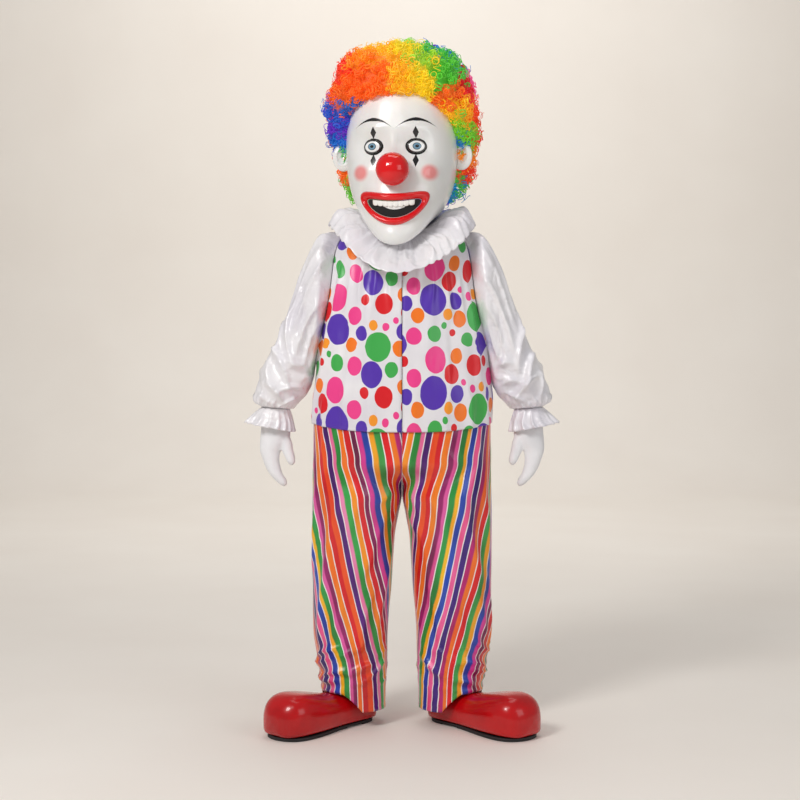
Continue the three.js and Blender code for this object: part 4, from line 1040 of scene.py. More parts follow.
# Creases of the ruff: place round it from the front, from the neck outward, lean, half length, half width,
# height and curl
RUFF_FOLDS = [
    (12, 110, 6, 60, 13, 7, 8), (46, 90, -8, 70, 12, -6, -10), (84, 120, 4, 55, 15, 8, 8),
    (128, 95, 10, 75, 13, 6, 12), (166, 120, -6, 50, 12, -6, -8), (205, 100, 2, 70, 16, 9, 10),
    (252, 115, -10, 60, 13, 6, -8), (290, 90, 6, 75, 12, 6, 10), (338, 110, 0, 60, 15, 8, -10),
    (386, 100, 8, 70, 13, -6, 8), (430, 118, -6, 55, 14, 7, 10), (480, 95, 4, 75, 13, 8, -12),
    (524, 110, -8, 60, 12, 6, 8), (570, 105, 0, 70, 15, 7, 10), (618, 95, 8, 70, 13, -6, -10),
    (662, 118, -4, 55, 14, 8, 8), (706, 100, 6, 70, 12, 7, 10), (752, 112, -8, 60, 15, 6, -8),
    (800, 95, 2, 75, 13, 8, 12), (846, 115, -6, 55, 13, -6, 8), (892, 100, 8, 70, 14, 8, -10),
    (938, 110, -2, 60, 12, 6, 8), (984, 92, 6, 75, 15, 7, 12), (1030, 118, -8, 55, 13, 8, -8),
    (1078, 100, 4, 70, 12, -6, 10), (1120, 112, -6, 60, 14, 8, 8), (1164, 96, 2, 72, 13, 6, -10)]


def make_ruff():
    u, v = grid(420, 32)
    t = v * 3
    deg = u * 360
    p = ring(RUFF, t, deg, 1)
    front = ease(0.15, 0.95, np.cos(np.radians(deg)))
    long_waves = 0.5 * np.sin(np.radians(3 * deg + 40)) + 0.5 * np.sin(np.radians(5 * deg))
    pleats = gathers(u + 0.004 * np.sin(7 * v + 9 * u), RUFF_PLEATS, 0.45, 12)
    pleats = pleats * mix(0.95, 0.5, front) * mix(1, 0.55, ease(1, 0, t))
    fine = gathers(u, 97, 0.5, 5) * ease(1.2, 2.6, t) * (1 - ease(2.8, 3, t))
    small = scattered(60, 15, (0, RUFF_GIRTH), (0, 150), (-25, 25), (14, 40), (4, 9), (0.8, 2.4))
    soft = creases(u * RUFF_GIRTH, (1 - v) * RUFF_DEPTH, RUFF_FOLDS + small, RUFF_GIRTH)
    soft = soft * ease(0, 0.1, v) * ease(1, 0.85, v)
    p[..., 2] += along(RUFF["wave"], t) * (0.8 * pleats + 0.5 * long_waves) + 1.8 * fine + 1.5 * soft
    outward = p[..., :2] / np.linalg.norm(p[..., :2], axis=-1, keepdims=True)
    out = 1.6 * gathers(u + 0.01, RUFF_PLEATS, 0.45, 12) * (1 - ease(0, 2.5, t)) + 0.4 * soft
    p[..., :2] += outward * out[..., None]
    hem = 1.1 * hump(v - 0.028, 0.018)
    ruff = cloth_mesh("ruff_satin", p, hem, -SATIN - hem, flat_cloth(p), closed=True)
    worn(ruff, "ruff", "white_satin", WHITE)


# Blouse

BODY = table(
    "side_z front_z back_z half front back",
    (886, 862, 870, 260, 160, 151), (915, 902, 906, 258.5, 161, 150), (960, 956, 957, 256, 161, 148),
    (1010, 1010, 1010, 250, 160, 145), (1060, 1060, 1060, 244, 158, 143), (1104, 1104, 1104, 238, 157, 142),
    (1150, 1150, 1150, 232, 155, 143), (1200, 1200, 1200, 226, 152, 144), (1250, 1246, 1252, 220, 148, 144),
    (1300, 1290, 1304, 213, 142, 141), (1350, 1332, 1354, 203, 133, 133), (1395, 1368, 1398, 187, 119, 120),
    (1426, 1396, 1426, 160, 99, 102), (1437, 1415, 1442, 116, 84, 85), (1440, 1424, 1448, 74.2, 74.2, 74.2))
BODY_TOP = 14
BODY_POWER = 0.86
# Folds of the body: degrees from the front, half width and depth
BODY_FOLDS = [(9, 5, 3.5), (24, 6, 4.5), (42, 7, 4), (62, 7, 3.5), (128, 9, 4), (152, 8, 4.5), (170, 6, 3)]
HEM_DROP = 6
# Creases of the blouse: across from the panel's first edge, height, lean, half length, half width,
# height of the crease and curl
FRONT_LEFT = [
    (28, 1290, 2, 90, 7, 4, 6), (62, 1305, -4, 75, 8, 5, -8), (98, 1280, -7, 110, 9, 4, 10),
    (140, 1270, -9, 90, 10, 5, 6), (185, 1230, -12, 110, 11, 4, -12), (50, 1130, 3, 140, 16, 3, 14),
    (120, 1080, -5, 150, 18, -4, 12), (205, 1090, -9, 130, 15, 5, -10), (265, 1120, -14, 120, 13, 6, 10),
    (300, 1180, -24, 70, 9, 5, 8), (90, 930, 4, 60, 14, 4, 4), (165, 920, -3, 70, 15, 5, -6),
    (240, 925, -8, 70, 13, 5, 6), (20, 960, 0, 80, 10, 3, 4), (310, 960, -10, 90, 12, 4, 6)]
FRONT_RIGHT = [
    (22, 1300, 4, 80, 7, 4, 5), (52, 1285, -3, 95, 8, 4, 8), (90, 1300, -8, 80, 9, 5, -6),
    (128, 1265, -6, 100, 9, 4, 8), (172, 1245, -13, 100, 12, 5, 10), (70, 1110, 4, 150, 15, 4, -12),
    (150, 1060, -6, 140, 17, -4, 10), (220, 1110, -11, 120, 15, 5, 12), (280, 1140, -17, 110, 12, 6, -8),
    (310, 1200, -26, 60, 9, 4, 6), (60, 925, 2, 65, 13, 4, 6), (130, 935, -4, 70, 14, 4, 6),
    (210, 920, -6, 60, 13, 5, -6), (275, 940, -9, 80, 13, 4, 5)]
BACK = [
    (60, 1200, 6, 130, 14, 4, 8), (130, 1290, 4, 90, 10, 5, 8), (190, 1305, 2, 80, 9, 4, -6),
    (250, 1290, 0, 95, 10, 5, 6), (310, 1310, -2, 75, 9, 4, 6), (370, 1290, -4, 90, 10, 5, -8),
    (440, 1280, -6, 95, 11, 5, 8), (520, 1230, -8, 110, 14, 4, 8), (100, 1060, 5, 140, 17, 4, 12),
    (200, 1090, 3, 130, 18, -4, 12), (290, 1040, 0, 150, 16, 4, -14), (390, 1080, -4, 140, 17, -4, 12),
    (490, 1060, -6, 130, 16, 5, 10), (590, 1100, -9, 110, 13, 5, 8), (80, 925, 4, 65, 14, 4, 5),
    (180, 930, 2, 60, 13, 4, -5), (300, 920, 0, 70, 15, 5, 6), (420, 930, -3, 60, 14, 4, 6),
    (530, 925, -5, 65, 14, 5, -6)]


def body_point(deg, t, crease=0.0):
    p = ring(BODY, t, deg, mix(BODY_POWER, 1, ease(10, BODY_TOP, t)))
    p[..., 2] -= HEM_DROP * np.sin(np.radians(deg)) * (1 - ease(0, 2, t))
    turn = np.abs(turn_from(deg, 0))
    sink = sum(deep * hump(turn - at, wide) for at, wide, deep in BODY_FOLDS)
    near = ease(2, 9, t) * (1 - ease(12, 14, t)) + 0.35 * (1 - ease(0, 3, t))
    p[..., :2] *= (1 - (sink * near - crease) / np.hypot(p[..., 0], p[..., 1]))[..., None]
    return p


def armhole_deg(t):
    """Where the armhole, or below it the side seam, is on the body."""
    return 90 - 20 * np.sin(np.pi * np.clip((t - 5) / 7, 0, 1)) ** 0.7


def seam_turn(side, t, share=1.0):
    """Turn in degrees that half a seam takes up."""
    return np.degrees(HALF_SEAM / (along(BODY[side], t) * share))


def front_edges(t):
    return seam_turn("front", t), armhole_deg(t) - seam_turn("front", t, 0.6)


def back_edges(t):
    start = 180 - armhole_deg(t) + seam_turn("back", t, 0.6)
    return start, 360 - start


def blouse_panel(node, edges, columns, folds, seed, offset, mirror=False, heart=0):
    """A panel between its edges, with the print measured from the column at its heart."""
    u, v = grid(columns, 98)
    t = v * BODY_TOP
    first, last = edges(t)
    width = np.radians(last - first) * 0.5 * (along(BODY["half"], t) + along(BODY["front"], t))
    across, up = u * width, along(BODY["side_z"], t)
    small = scattered(46, seed, (0, width.max()), (880, 1420), (-20, 14), (14, 42), (3, 8), (0.5, 1.6))
    crease = creases(across, up, folds + small)
    crease *= ease(0.0, 0.05, u) * ease(1.0, 0.95, u) * ease(13.6, 12.4, t)
    crease = np.maximum(1.9 * crease, mix(-0.8, -9, ease(990, 1060, up)))
    p = body_point(mix(first, last, u), t, crease)
    hem = 0.7 * hump(v - 0.03, 0.004) - 0.9 * hump(v - 0.036, 0.003)
    arc = length_along(p, 1)
    arc = smoothed(arc - arc[:, heart:heart + 1], 4)
    flat = xyz(arc + offset[0], length_along(p, 0).mean(1, keepdims=True) + offset[1], 0)[..., :2]
    p = raised(p, hem), raised(p, -SATIN)
    return worn(solid_mesh(node + "_satin", *p, flat, mirror=mirror), node, "spotted_satin", SPOTTED)


def make_blouse():
    for name, mirror, folds, seed, offset in (("left", False, FRONT_LEFT, 21, (40, 30)),
                                              ("right", True, FRONT_RIGHT, 22, (205, 118))):
        panel = blouse_panel(f"blouse_front_{name}", front_edges, 56, folds, seed, offset, mirror)
    panel = blouse_panel("blouse_back", back_edges, 106, BACK, 23, (450, 60), heart=53)


# Sleeves and wrist frills

SLEEVE = table(
    "out_x out_z in_x in_z deep y",
    (160, 1426, 238, 1104, 90, 0), (230, 1424, 242.5, 1090, 96, 2), (282, 1340, 247.5, 1062, 90, 3),
    (312, 1252, 252, 1034, 84, 2), (342, 1172, 257, 1006, 80, 0), (373, 1100, 265, 980, 79, -3),
    (407, 1034, 281, 954, 79, -6), (424, 978, 303, 932, 74, -8), (425, 944, 318, 921, 58, -9),
    (406.5, 927, 326.5, 922, 39, -10))
SLEEVE_END = 9
# Folds of the sleeves: place along, turn in degrees, half length, half width and depth
SLEEVE_FOLDS = [
    (2.4, 235, 0.35, 60, 7), (3.6, 290, 0.3, 55, 6), (4.7, 225, 0.3, 50, 7), (5.8, 285, 0.3, 60, 8),
    (6.9, 230, 0.3, 55, 6), (3.0, 80, 0.35, 60, 7), (4.4, 120, 0.3, 50, 6), (5.9, 75, 0.3, 55, 7)]
SLEEVE_GIRTH, SLEEVE_STEP = 600.0, 56.0
# Creases of the sleeves: turn in degrees, 0 under the arm, 180 outside, 270 in front; place along,
# lean, half length, half width, height and curl
SLEEVE_LEFT = [
    (205, 2.4, 6, 95, 9, 6, 10), (228, 2.2, 2, 110, 10, 5, -8), (252, 2.6, -4, 120, 10, 7, 14),
    (276, 2.4, -6, 100, 9, 5, 10), (300, 2.8, -8, 90, 9, 6, -10), (322, 2.6, -6, 80, 8, 5, 8),
    (215, 4.3, 40, 60, 9, 7, 18), (242, 4.6, 58, 65, 9, 8, -20), (285, 4.2, -52, 60, 9, 7, 18),
    (312, 4.6, -40, 55, 9, 6, -14), (238, 5.5, 64, 75, 10, 9, -24), (288, 5.4, -60, 60, 9, 7, 20),
    (262, 6.1, 76, 70, 9, 7, -18), (225, 6.6, 30, 50, 9, 6, 10), (300, 6.4, -38, 55, 9, 7, 12),
    (205, 8.0, 4, 34, 6, 5, 4), (222, 7.9, 0, 42, 6, 5, -4), (241, 8.1, -3, 30, 5, 4, 3),
    (258, 7.8, 2, 46, 6, 6, 4), (277, 8.0, -2, 38, 6, 5, -4), (295, 7.9, -5, 44, 6, 5, 4),
    (315, 8.1, -4, 34, 6, 5, 4), (335, 8.0, 0, 38, 6, 5, 4), (12, 8.0, 2, 36, 6, 5, 4),
    (40, 7.9, 4, 42, 6, 5, 4), (70, 8.0, 2, 36, 6, 5, -4), (98, 7.9, -2, 44, 6, 5, 4),
    (125, 8.1, -3, 34, 6, 5, 4), (150, 8.0, -2, 40, 6, 5, 4), (178, 7.9, 0, 36, 6, 5, -4),
    (60, 2.6, 4, 100, 10, 6, 10), (95, 2.4, -2, 110, 10, 6, -10), (130, 2.6, -6, 100, 10, 6, 10),
    (165, 2.3, 2, 110, 9, 5, 8), (70, 4.6, 50, 65, 9, 7, 18), (115, 4.4, -50, 60, 9, 7, -18),
    (85, 5.7, -62, 70, 10, 8, 20), (140, 5.6, 58, 60, 9, 7, 16)]
SLEEVE_RIGHT = [
    (198, 2.2, 4, 100, 9, 5, 8), (220, 2.6, 0, 110, 10, 6, 10), (246, 2.3, -3, 105, 9, 6, -12),
    (270, 2.7, -8, 115, 10, 7, 12), (296, 2.4, -6, 95, 9, 5, 10), (318, 2.9, -9, 80, 9, 6, -8),
    (208, 4.5, 46, 60, 9, 7, -16), (236, 4.2, 50, 60, 9, 7, 18), (280, 4.5, -48, 65, 10, 8, -20),
    (318, 4.3, -44, 50, 8, 6, 12), (250, 5.2, 70, 90, 10, 10, -26), (228, 5.9, 48, 60, 9, 7, 14),
    (292, 5.8, -56, 60, 9, 7, 16), (262, 6.5, 72, 60, 9, 7, -16), (232, 7.0, 24, 44, 8, 5, 8),
    (306, 6.8, -30, 50, 8, 6, 10), (200, 8.0, 4, 38, 6, 5, 4), (218, 8.1, 2, 32, 6, 5, 4),
    (236, 7.8, -2, 46, 6, 6, -4), (256, 8.0, 0, 36, 5, 4, 4), (272, 7.9, 3, 42, 6, 5, 4),
    (290, 8.1, -3, 32, 6, 5, 4), (309, 7.9, -4, 44, 6, 6, 4), (330, 8.0, -2, 36, 6, 5, -4),
    (8, 8.0, 2, 40, 6, 5, 4), (36, 7.9, 3, 36, 6, 5, 4), (66, 8.0, 2, 42, 6, 5, 4),
    (92, 8.1, -2, 34, 6, 5, -4), (120, 7.9, -3, 42, 6, 5, 4), (148, 8.0, -2, 36, 6, 5, 4),
    (172, 8.0, 0, 40, 6, 5, 4), (55, 2.4, 5, 105, 10, 6, -10), (90, 2.7, 0, 100, 10, 6, 10),
    (124, 2.4, -5, 110, 10, 6, 10), (158, 2.6, 0, 100, 9, 5, -8), (75, 4.4, 54, 60, 9, 7, -18),
    (120, 4.6, -46, 65, 9, 7, 18), (95, 5.6, -66, 70, 10, 8, -20), (145, 5.8, 52, 60, 9, 7, 16)]
WRIST = (366.5, -10, 923.6)
CUFF = {"x": 383, "y": -12, "z": 868, "half": 71, "deep": 60, "tilt": 14, "top_half": 40.2, "top_deep": 39.2}


def sleeve_section(k, u):
    """A row of the sleeve; the first follows the armhole."""
    share = (1 - np.cos(u * TURN)) / 2
    row = {name: values[k] for name, values in SLEEVE.items()}
    plain = xyz(mix(row["in_x"], row["out_x"], share), row["y"] + row["deep"] * np.sin(u * TURN),
                mix(row["in_z"], row["out_z"], share))
    t = mix(5, 12, 1 - np.abs(1 - 2 * u))
    edge = armhole_deg(t)
    p = body_point(np.where(u < 0.5, 180 - edge, edge), t)
    p = p + xyz(0.6, 0, np.where(t < 6, 0.8, 0.1))
    return np.where((k == 0)[..., None], p, plain)


def sleeve_point(u, place, crease):
    around = u % 1
    i = np.clip(np.floor(place), 0, SLEEVE_END - 1).astype(int)
    near = (sleeve_section(np.clip(i + k, 0, SLEEVE_END), around) for k in (-1, 0, 1, 2))
    p = between(*near, (place - i)[..., None])
    row = row_at(SLEEVE, place)
    heart = xyz((row["in_x"] + row["out_x"]) / 2, row["y"], (row["in_z"] + row["out_z"]) / 2)
    sink = -crease
    for at, deg, long, wide, deep in SLEEVE_FOLDS:
        off = turn_from(around * 360, deg)
        sink = sink + deep * hump(place - at - off / wide * 0.5, long) * hump(off, wide)
    inward = heart - p
    return p + inward / np.linalg.norm(inward, axis=-1, keepdims=True) * sink[..., None]


def make_sleeve(name, mirror, folds, seed):
    u, v = grid(118, 82)
    place = v * SLEEVE_END
    folds = [(x * SLEEVE_GIRTH / 360, y * SLEEVE_STEP, *rest) for x, y, *rest in folds]
    small = scattered(60, seed, (0, SLEEVE_GIRTH), (40, 440), (-50, 50), (16, 44), (3, 7), (0.6, 1.8))
    crease = creases(u * SLEEVE_GIRTH, place * SLEEVE_STEP, folds + small, SLEEVE_GIRTH)
    puckers = gathers(u, 26, 0.5, seed) * 2.2 * ease(7.2, 8.8, place)
    crease = (2.2 * crease + puckers) * ease(0.1, 1.0, place) * ease(9.0, 8.75, place)
    crease = crease * mix(0.45, 1, ease(0.05, 0.4, 0.5 - 0.5 * np.cos(TURN * u)))
    p = sleeve_point(u, place, crease)
    sleeve = cloth_mesh(f"sleeve_{name}_satin", p, 0, -SATIN, flat_cloth(p), True, mirror)
    worn(sleeve, f"sleeve_{name}", "white_satin", WHITE)


def make_frill(name, mirror, seed):
    u, v = grid(224, 14)
    c, s = np.cos(u * TURN), np.sin(u * TURN)
    spread = (1 - v) ** 0.8
    wave = 5.5 * (1 - v) * gathers(u + 0.01 * np.sin(5 * v), 16, 0.4, seed + 4) * 0.9
    half = mix(CUFF["top_half"], CUFF["half"], spread) + wave
    deep = mix(CUFF["top_deep"], CUFF["deep"], spread) + wave
    p = xyz(mix(WRIST[0], CUFF["x"], 1 - v) + half * c, mix(WRIST[1], CUFF["y"], 1 - v) + deep * s,
            mix(CUFF["z"], WRIST[2], v) + CUFF["tilt"] * (1 - v) * c + 2.4 * v * c)
    hem = 0.7 * hump(v - 0.06, 0.03)
    frill = cloth_mesh(f"cuff_frill_{name}_satin", p, hem, -SATIN, flat_cloth(p), True, mirror)
    worn(frill, f"cuff_frill_{name}", "white_satin", WHITE)


def make_sleeves():
    for name, mirror, folds, seed in (("left", False, SLEEVE_LEFT, 31), ("right", True, SLEEVE_RIGHT, 32)):
        make_sleeve(name, mirror, folds, seed)
        make_frill(name, mirror, seed)


# Gloves

GLOVE = table(
    "z x y half deep",
    (972, 364, -9, 36.5, 36), (922, 366.5, -10, 38.2, 37.2), (890, 367, -12, 40, 33),
    (856, 366, -14, 43, 30), (826, 370, -17, 41.5, 28), (800, 381, -19, 30.5, 25),
    (776, 379.5, -22, 24.5, 23), (755, 374, -25, 22, 21), (734, 365, -28, 19.5, 19),
    (717, 352, -31, 17.5, 16), (703, 343, -33, 11, 10), (695, 341, -34, 0, 0))
THUMB = table(
    "z x y half deep",
    (852, 345, -20, 14, 16), (826, 336, -24, 17.5, 17), (802, 331, -29, 17, 16), (780, 323, -33, 14.5, 14),
    (766, 319.5, -35, 11, 11), (755, 319, -36, 0, 0))
GLOVE_CLOTH = 1.2
GLOVE_TOP = 968
# Grooves between the fingers: place across the hand, and their depth
GROOVES, GROOVE_DEPTH = (-0.36, 0.08, 0.5), 4.5


def tube(rows, columns, steps, grooves=0.0):
    """A closed tube that runs up from the fingertips, with shallow grooves between the fingers."""
    u, v = grid(columns, steps)
    last = len(rows["z"]) - 1
    rounded = np.where(v < 0.12, (v / 0.12) ** 1.6 * 0.12, v)
    row = row_at(rows, (1 - rounded) * last)
    c, s = np.cos(u * TURN), np.sin(u * TURN)
    half, deep = np.maximum(0, row["half"]), np.maximum(0, row["deep"])
    groove = sum(hump(c - at, 0.07) for at in GROOVES)
    sink = grooves * groove * ease(0.62, 0.3, v) * ease(0.0, 0.1, v)
    return xyz(row["x"] + half * c, row["y"] + s * (deep - sink), row["z"])


def make_gloves():
    hand = closed_skin("glove_form", tube(GLOVE, 64, 60, GROOVE_DEPTH))
    cut(hand, closed_skin("thumb_form", tube(THUMB, 36, 24)), "UNION")
    modified(hand, "REMESH", mode="VOXEL", voxel_size=0.0036)
    applied(modified(hand, "SMOOTH", factor=0.5, iterations=5))
    edit = opened(hand)
    sliced(edit, (0, 0, (GLOVE_TOP - SHOULDER_HEIGHT) / 1000), (0, 0, 1))
    stored(edit, hand)
    applied(modified(hand, "SOLIDIFY", thickness=GLOVE_CLOTH / 1000, offset=-1))
    points, faces = taken(tidy(hand))
    for name, side in SIDES:
        glove = tidy(mesh_object(f"glove_{name}_cotton", points * [side, 1, 1], [f[::side] for f in faces]))
        worn(glove, f"glove_{name}", "glove_cotton", COTTON)


# Trousers

LEG = table(
    "z out inside front back",
    (40, 232, 48, 94, 96), (90, 233, 48, 96, 98), (125, 235, 47, 97, 100), (165, 241, 45, 100, 103),
    (205, 249, 43, 103, 107), (260, 258, 42, 105, 110), (330, 260, 38, 107, 112), (400, 260, 31, 110, 116),
    (480, 261, 26, 114, 120), (560, 261, 20, 120, 128), (620, 261, 9, 128, 137), (666, 260, 0.4, 137, 146),
    (720, 259, 0.4, 146, 150), (790, 258, 0.4, 152, 149), (850, 257, 0.4, 154, 146),
    (900, 256.4, 0.4, 153, 143), (940, 250, 0.4, 149, 140), (980, 238, 0.4, 140, 133))
# Folds where the legs break on the shoes: height, half height, turn, half width and how far out
BREAK_FOLDS = [
    (108, 9, 60, 55, 5), (140, 10, 80, 65, 7), (178, 11, 55, 60, 6), (125, 10, 200, 55, 5),
    (168, 11, 215, 60, 6)]
# Long folds of the legs: turn, half width, height, half height and depth
LEG_FOLDS = [
    (-35, 13, 470, 200, 6), (8, 14, 420, 170, 5), (45, 14, 540, 220, 6), (150, 15, 480, 210, 6),
    (195, 15, 400, 190, 5)]
LEG_TOP = 980
LEG_WIDTH = 345.0
# Distance of a leg's middle line from the middle of the body
LEG_LINE = 140.0
CROTCH = 666
# Creases of the trouser legs: across from the outer seam, height, lean, half length, half width,
# height of the crease and curl
LEG_LEFT = [
    (60, 620, 8, 150, 14, 7, 14), (120, 560, 12, 170, 16, 8, -16), (190, 600, 14, 160, 15, 7, 14),
    (250, 520, 12, 150, 14, 7, 12), (90, 380, 10, 130, 15, 7, -12), (160, 330, 14, 140, 16, 8, 14),
    (230, 360, 10, 120, 15, 6, 12), (40, 330, 6, 120, 12, 6, 8), (285, 690, 38, 70, 10, 6, 14),
    (255, 730, 44, 60, 10, 6, -12), (300, 640, 24, 80, 10, 7, 10), (215, 760, 30, 70, 12, 5, 10),
    (70, 230, 66, 60, 9, 7, -16), (110, 195, 80, 70, 9, 8, 14), (60, 160, 84, 60, 8, 8, -12),
    (130, 140, 76, 60, 8, 7, 12), (80, 112, 88, 55, 7, 6, 8), (190, 215, 60, 55, 9, 6, 12),
    (210, 160, 70, 55, 8, 6, -10), (180, 118, 82, 50, 7, 5, 8), (255, 190, 56, 50, 8, 5, 8),
    (130, 830, 6, 70, 12, 4, 8), (220, 860, 10, 60, 12, 4, 6)]
LEG_RIGHT = [
    (50, 600, 6, 150, 14, 7, -14), (105, 540, 10, 160, 16, 8, 14), (170, 620, 13, 150, 15, 7, 16),
    (240, 560, 15, 160, 15, 7, -12), (75, 360, 9, 130, 14, 7, 12), (145, 350, 12, 140, 16, 8, -14),
    (215, 330, 14, 130, 15, 7, 12), (275, 400, 10, 120, 13, 6, 8), (280, 700, 42, 70, 10, 7, -12),
    (245, 740, 36, 60, 10, 5, 12), (305, 650, 22, 80, 10, 6, 10), (200, 780, 26, 70, 12, 5, -8),
    (85, 225, 70, 65, 9, 8, 14), (60, 190, 78, 65, 9, 7, -14), (115, 165, 82, 65, 8, 8, 12),
    (75, 135, 86, 60, 8, 7, -10), (120, 112, 80, 50, 7, 6, 8), (180, 230, 62, 55, 9, 6, -10),
    (200, 180, 72, 55, 8, 6, 12), (190, 135, 80, 50, 7, 5, 8), (260, 170, 58, 50, 8, 5, -8),
    (120, 840, 5, 70, 12, 4, -8), (210, 850, 12, 60, 12, 4, 6)]
LEG_BEHIND = [
    (70, 600, 8, 150, 15, 7, 14), (140, 560, 12, 160, 16, 8, -16), (210, 620, 16, 150, 15, 7, 14),
    (270, 560, 14, 130, 14, 6, 10), (90, 370, 10, 130, 15, 7, 12), (170, 330, 12, 140, 16, 7, -12),
    (240, 380, 12, 120, 14, 6, 12), (280, 700, 40, 80, 11, 7, 14), (240, 740, 46, 60, 11, 6, -12),
    (80, 210, 72, 60, 9, 7, 12), (150, 180, 80, 65, 9, 8, -14), (100, 140, 84, 60, 8, 7, 12),
    (200, 150, 74, 55, 8, 6, 10), (150, 110, 84, 50, 7, 5, -8), (130, 830, 6, 70, 12, 4, 8),
    (230, 850, 12, 60, 12, 5, 6)]
# Panels of the legs: name, whether mirrored, whether behind, creases, seed of the small creases, and the
# print's shift across
LEG_PANELS = (
    ("front_left", False, False, LEG_LEFT, 41, 60), ("front_right", True, False, LEG_RIGHT, 42, 214),
    ("back_left", False, True, LEG_BEHIND, 43, 20), ("back_right", True, True, LEG_BEHIND, 44, 150))
SHOE = table(
    "u half low top",
    (-80, 0, 52, 52), (-77, 18, 18, 84), (-68, 31, 10, 96), (-48, 41, 10, 101), (-15, 46, 10, 103),
    (25, 48, 10, 103), (70, 51, 10, 101), (115, 60, 10, 105), (160, 70, 10, 114), (205, 77, 10, 123),
    (245, 78, 10, 127), (275, 70, 10, 119), (296, 52, 12, 100), (307, 28, 25, 78), (311, 0, 52, 52))
SHOE_BACK, SHOE_TOE = -80, 311
SHOE_WIDEST = 0.42
ANKLE = np.array([146.0, -5.0])
TURNOUT = np.radians(45)
SOLE_THICKNESS = 9.7


def shoe_top(x, y):
    """Height of the shoe's upper over a place on the floor."""
    c, s = np.cos(TURNOUT), np.sin(TURNOUT)
    u = (x - ANKLE[0]) * c - (y - ANKLE[1]) * s
    across = (x - ANKLE[0]) * s + (y - ANKLE[1]) * c
    row = row_at(SHOE, place_of(SHOE["u"], u))
    share = np.abs(across) / np.maximum(row["half"], 1e-6)
    widest = mix(row["low"], row["top"], SHOE_WIDEST)
    height = widest + (row["top"] - widest) * np.maximum(0, 1 - np.clip(share, 0, 1) ** 1.25) ** 0.85
    return np.where((share < 1) & (u > SHOE_BACK) & (u < SHOE_TOE), height, 0)


def leg_point(share, z, behind, crease=0.0):
    """A point of a leg's panel, from the inseam at share 0 to the outer seam at 1."""
    row = row_at(LEG, place_of(LEG["z"], z))
    turn = mix(-np.pi / 2, np.pi / 2, share)
    middle, half = (row["out"] + row["inside"]) / 2, (row["out"] - row["inside"]) / 2
    reach = row["back"] if behind else row["front"]
    wrap = share * np.pi / 2
    leg = xyz(middle + half * np.sin(turn), reach * np.cos(turn), z)
    hip = xyz(row["inside"] + (row["out"] - row["inside"]) * bend(np.sin(wrap), BODY_POWER),
              reach * bend(np.cos(wrap), BODY_POWER), z)
    p = mix(leg, hip, ease(CROTCH, CROTCH + 110, z)[..., None])
    deg = 180 - np.degrees(turn) if behind else np.degrees(turn)
    out = sum(high * hump(z - at, tall) * hump(turn_from(deg, side), wide)
              for at, tall, side, wide, high in BREAK_FOLDS)
    out = out - sum(deep * hump(z - at, tall) * hump(turn_from(deg, side), wide)
                    for side, wide, at, tall, deep in LEG_FOLDS)
    away = xyz(p[..., 0] - middle, p[..., 1], 0)
    away /= np.maximum(np.linalg.norm(away, axis=-1, keepdims=True), 1e-9)
    p = p + away * (out * (1 - ease(560, 700, z)) + crease)[..., None]
    p[..., 1] = (p[..., 1] + 0.15) * (1 if behind else -1)
    return p


def hem_height(share, behind):
    """Height of the hem, which rests on the shoe where it is over it."""
    sign = 1 if behind else -1
    height = np.full(share.shape, 48.0)
    for aside in np.linspace(-0.15, 0.15, 13):
        p = leg_point(np.clip(share + aside, 0, 1), np.full(share.shape, 90.0), behind)
        for pull in (0.92, 0.96, 1, 1.03):
            top = shoe_top(mix(ANKLE[0], p[..., 0], pull), mix(ANKLE[1], np.abs(p[..., 1]) * sign, pull))
            height = np.maximum(height, top + 1.7 - 16 * abs(aside))
    return height


def slant(z):
    """How far the stripes have moved inward at a height, counted from the waist."""
    heights = np.linspace(40, 990, 96)
    low = mix(3, 18, ease(120, 230, heights))
    lean = np.tan(np.radians(mix(low, 12, ease(330, 480, heights)))) * mix(1, 0.85, ease(750, 950, heights))
    moved = np.cumsum(lean) * (heights[1] - heights[0])
    return moved[-1] - np.interp(z, heights, moved)


def leg_creases(share, z, hem, folds, seed):
    """Creases of a panel, fading at its seams, its waist and its hem."""
    small = scattered(70, seed, (0, LEG_WIDTH), (90, 900), (-10, 35), (24, 70), (4, 9), (0.7, 2.2), 10)
    low = scattered(22, seed + 7, (0, LEG_WIDTH), (60, 240), (60, 110), (22, 50), (4, 7), (1.5, 3.5), 8)
    folds = [(*f[:5], f[5] * (1.7 if f[2] > 50 else 1.35), f[6]) for f in folds]
    crease = creases((1 - share) * LEG_WIDTH, z, folds + small + low)
    crease = np.minimum(crease, mix(14, 0.4, ease(830, 880, z)))
    crease = crease * ease(0, 0.05, share) * ease(1, 0.95, share)
    crease = crease * ease(960, 900, z) * mix(1, 0.45, ease(760, 900, z))
    return crease * mix(0.35, 1, ease(0, 60, z - hem)) * mix(1, ease(0.04, 0.3, share), ease(560, 640, z))


def stripe_place(p, z, behind, offset):
    """Each point's place on the striped cloth, across from the leg's middle line and up."""
    arc = length_along(p, 1)
    arc = arc if behind else arc[:, -1:] - arc
    order = slice(None, None, -1) if behind else slice(None)
    middle = [[np.interp(LEG_LINE, x[order], row[order])] for x, row in zip(p[..., 0], arc)]
    arc = smoothed(arc - np.array(middle), 6) + LEG_LINE
    return np.stack([arc - slant(z) + offset, z], -1)


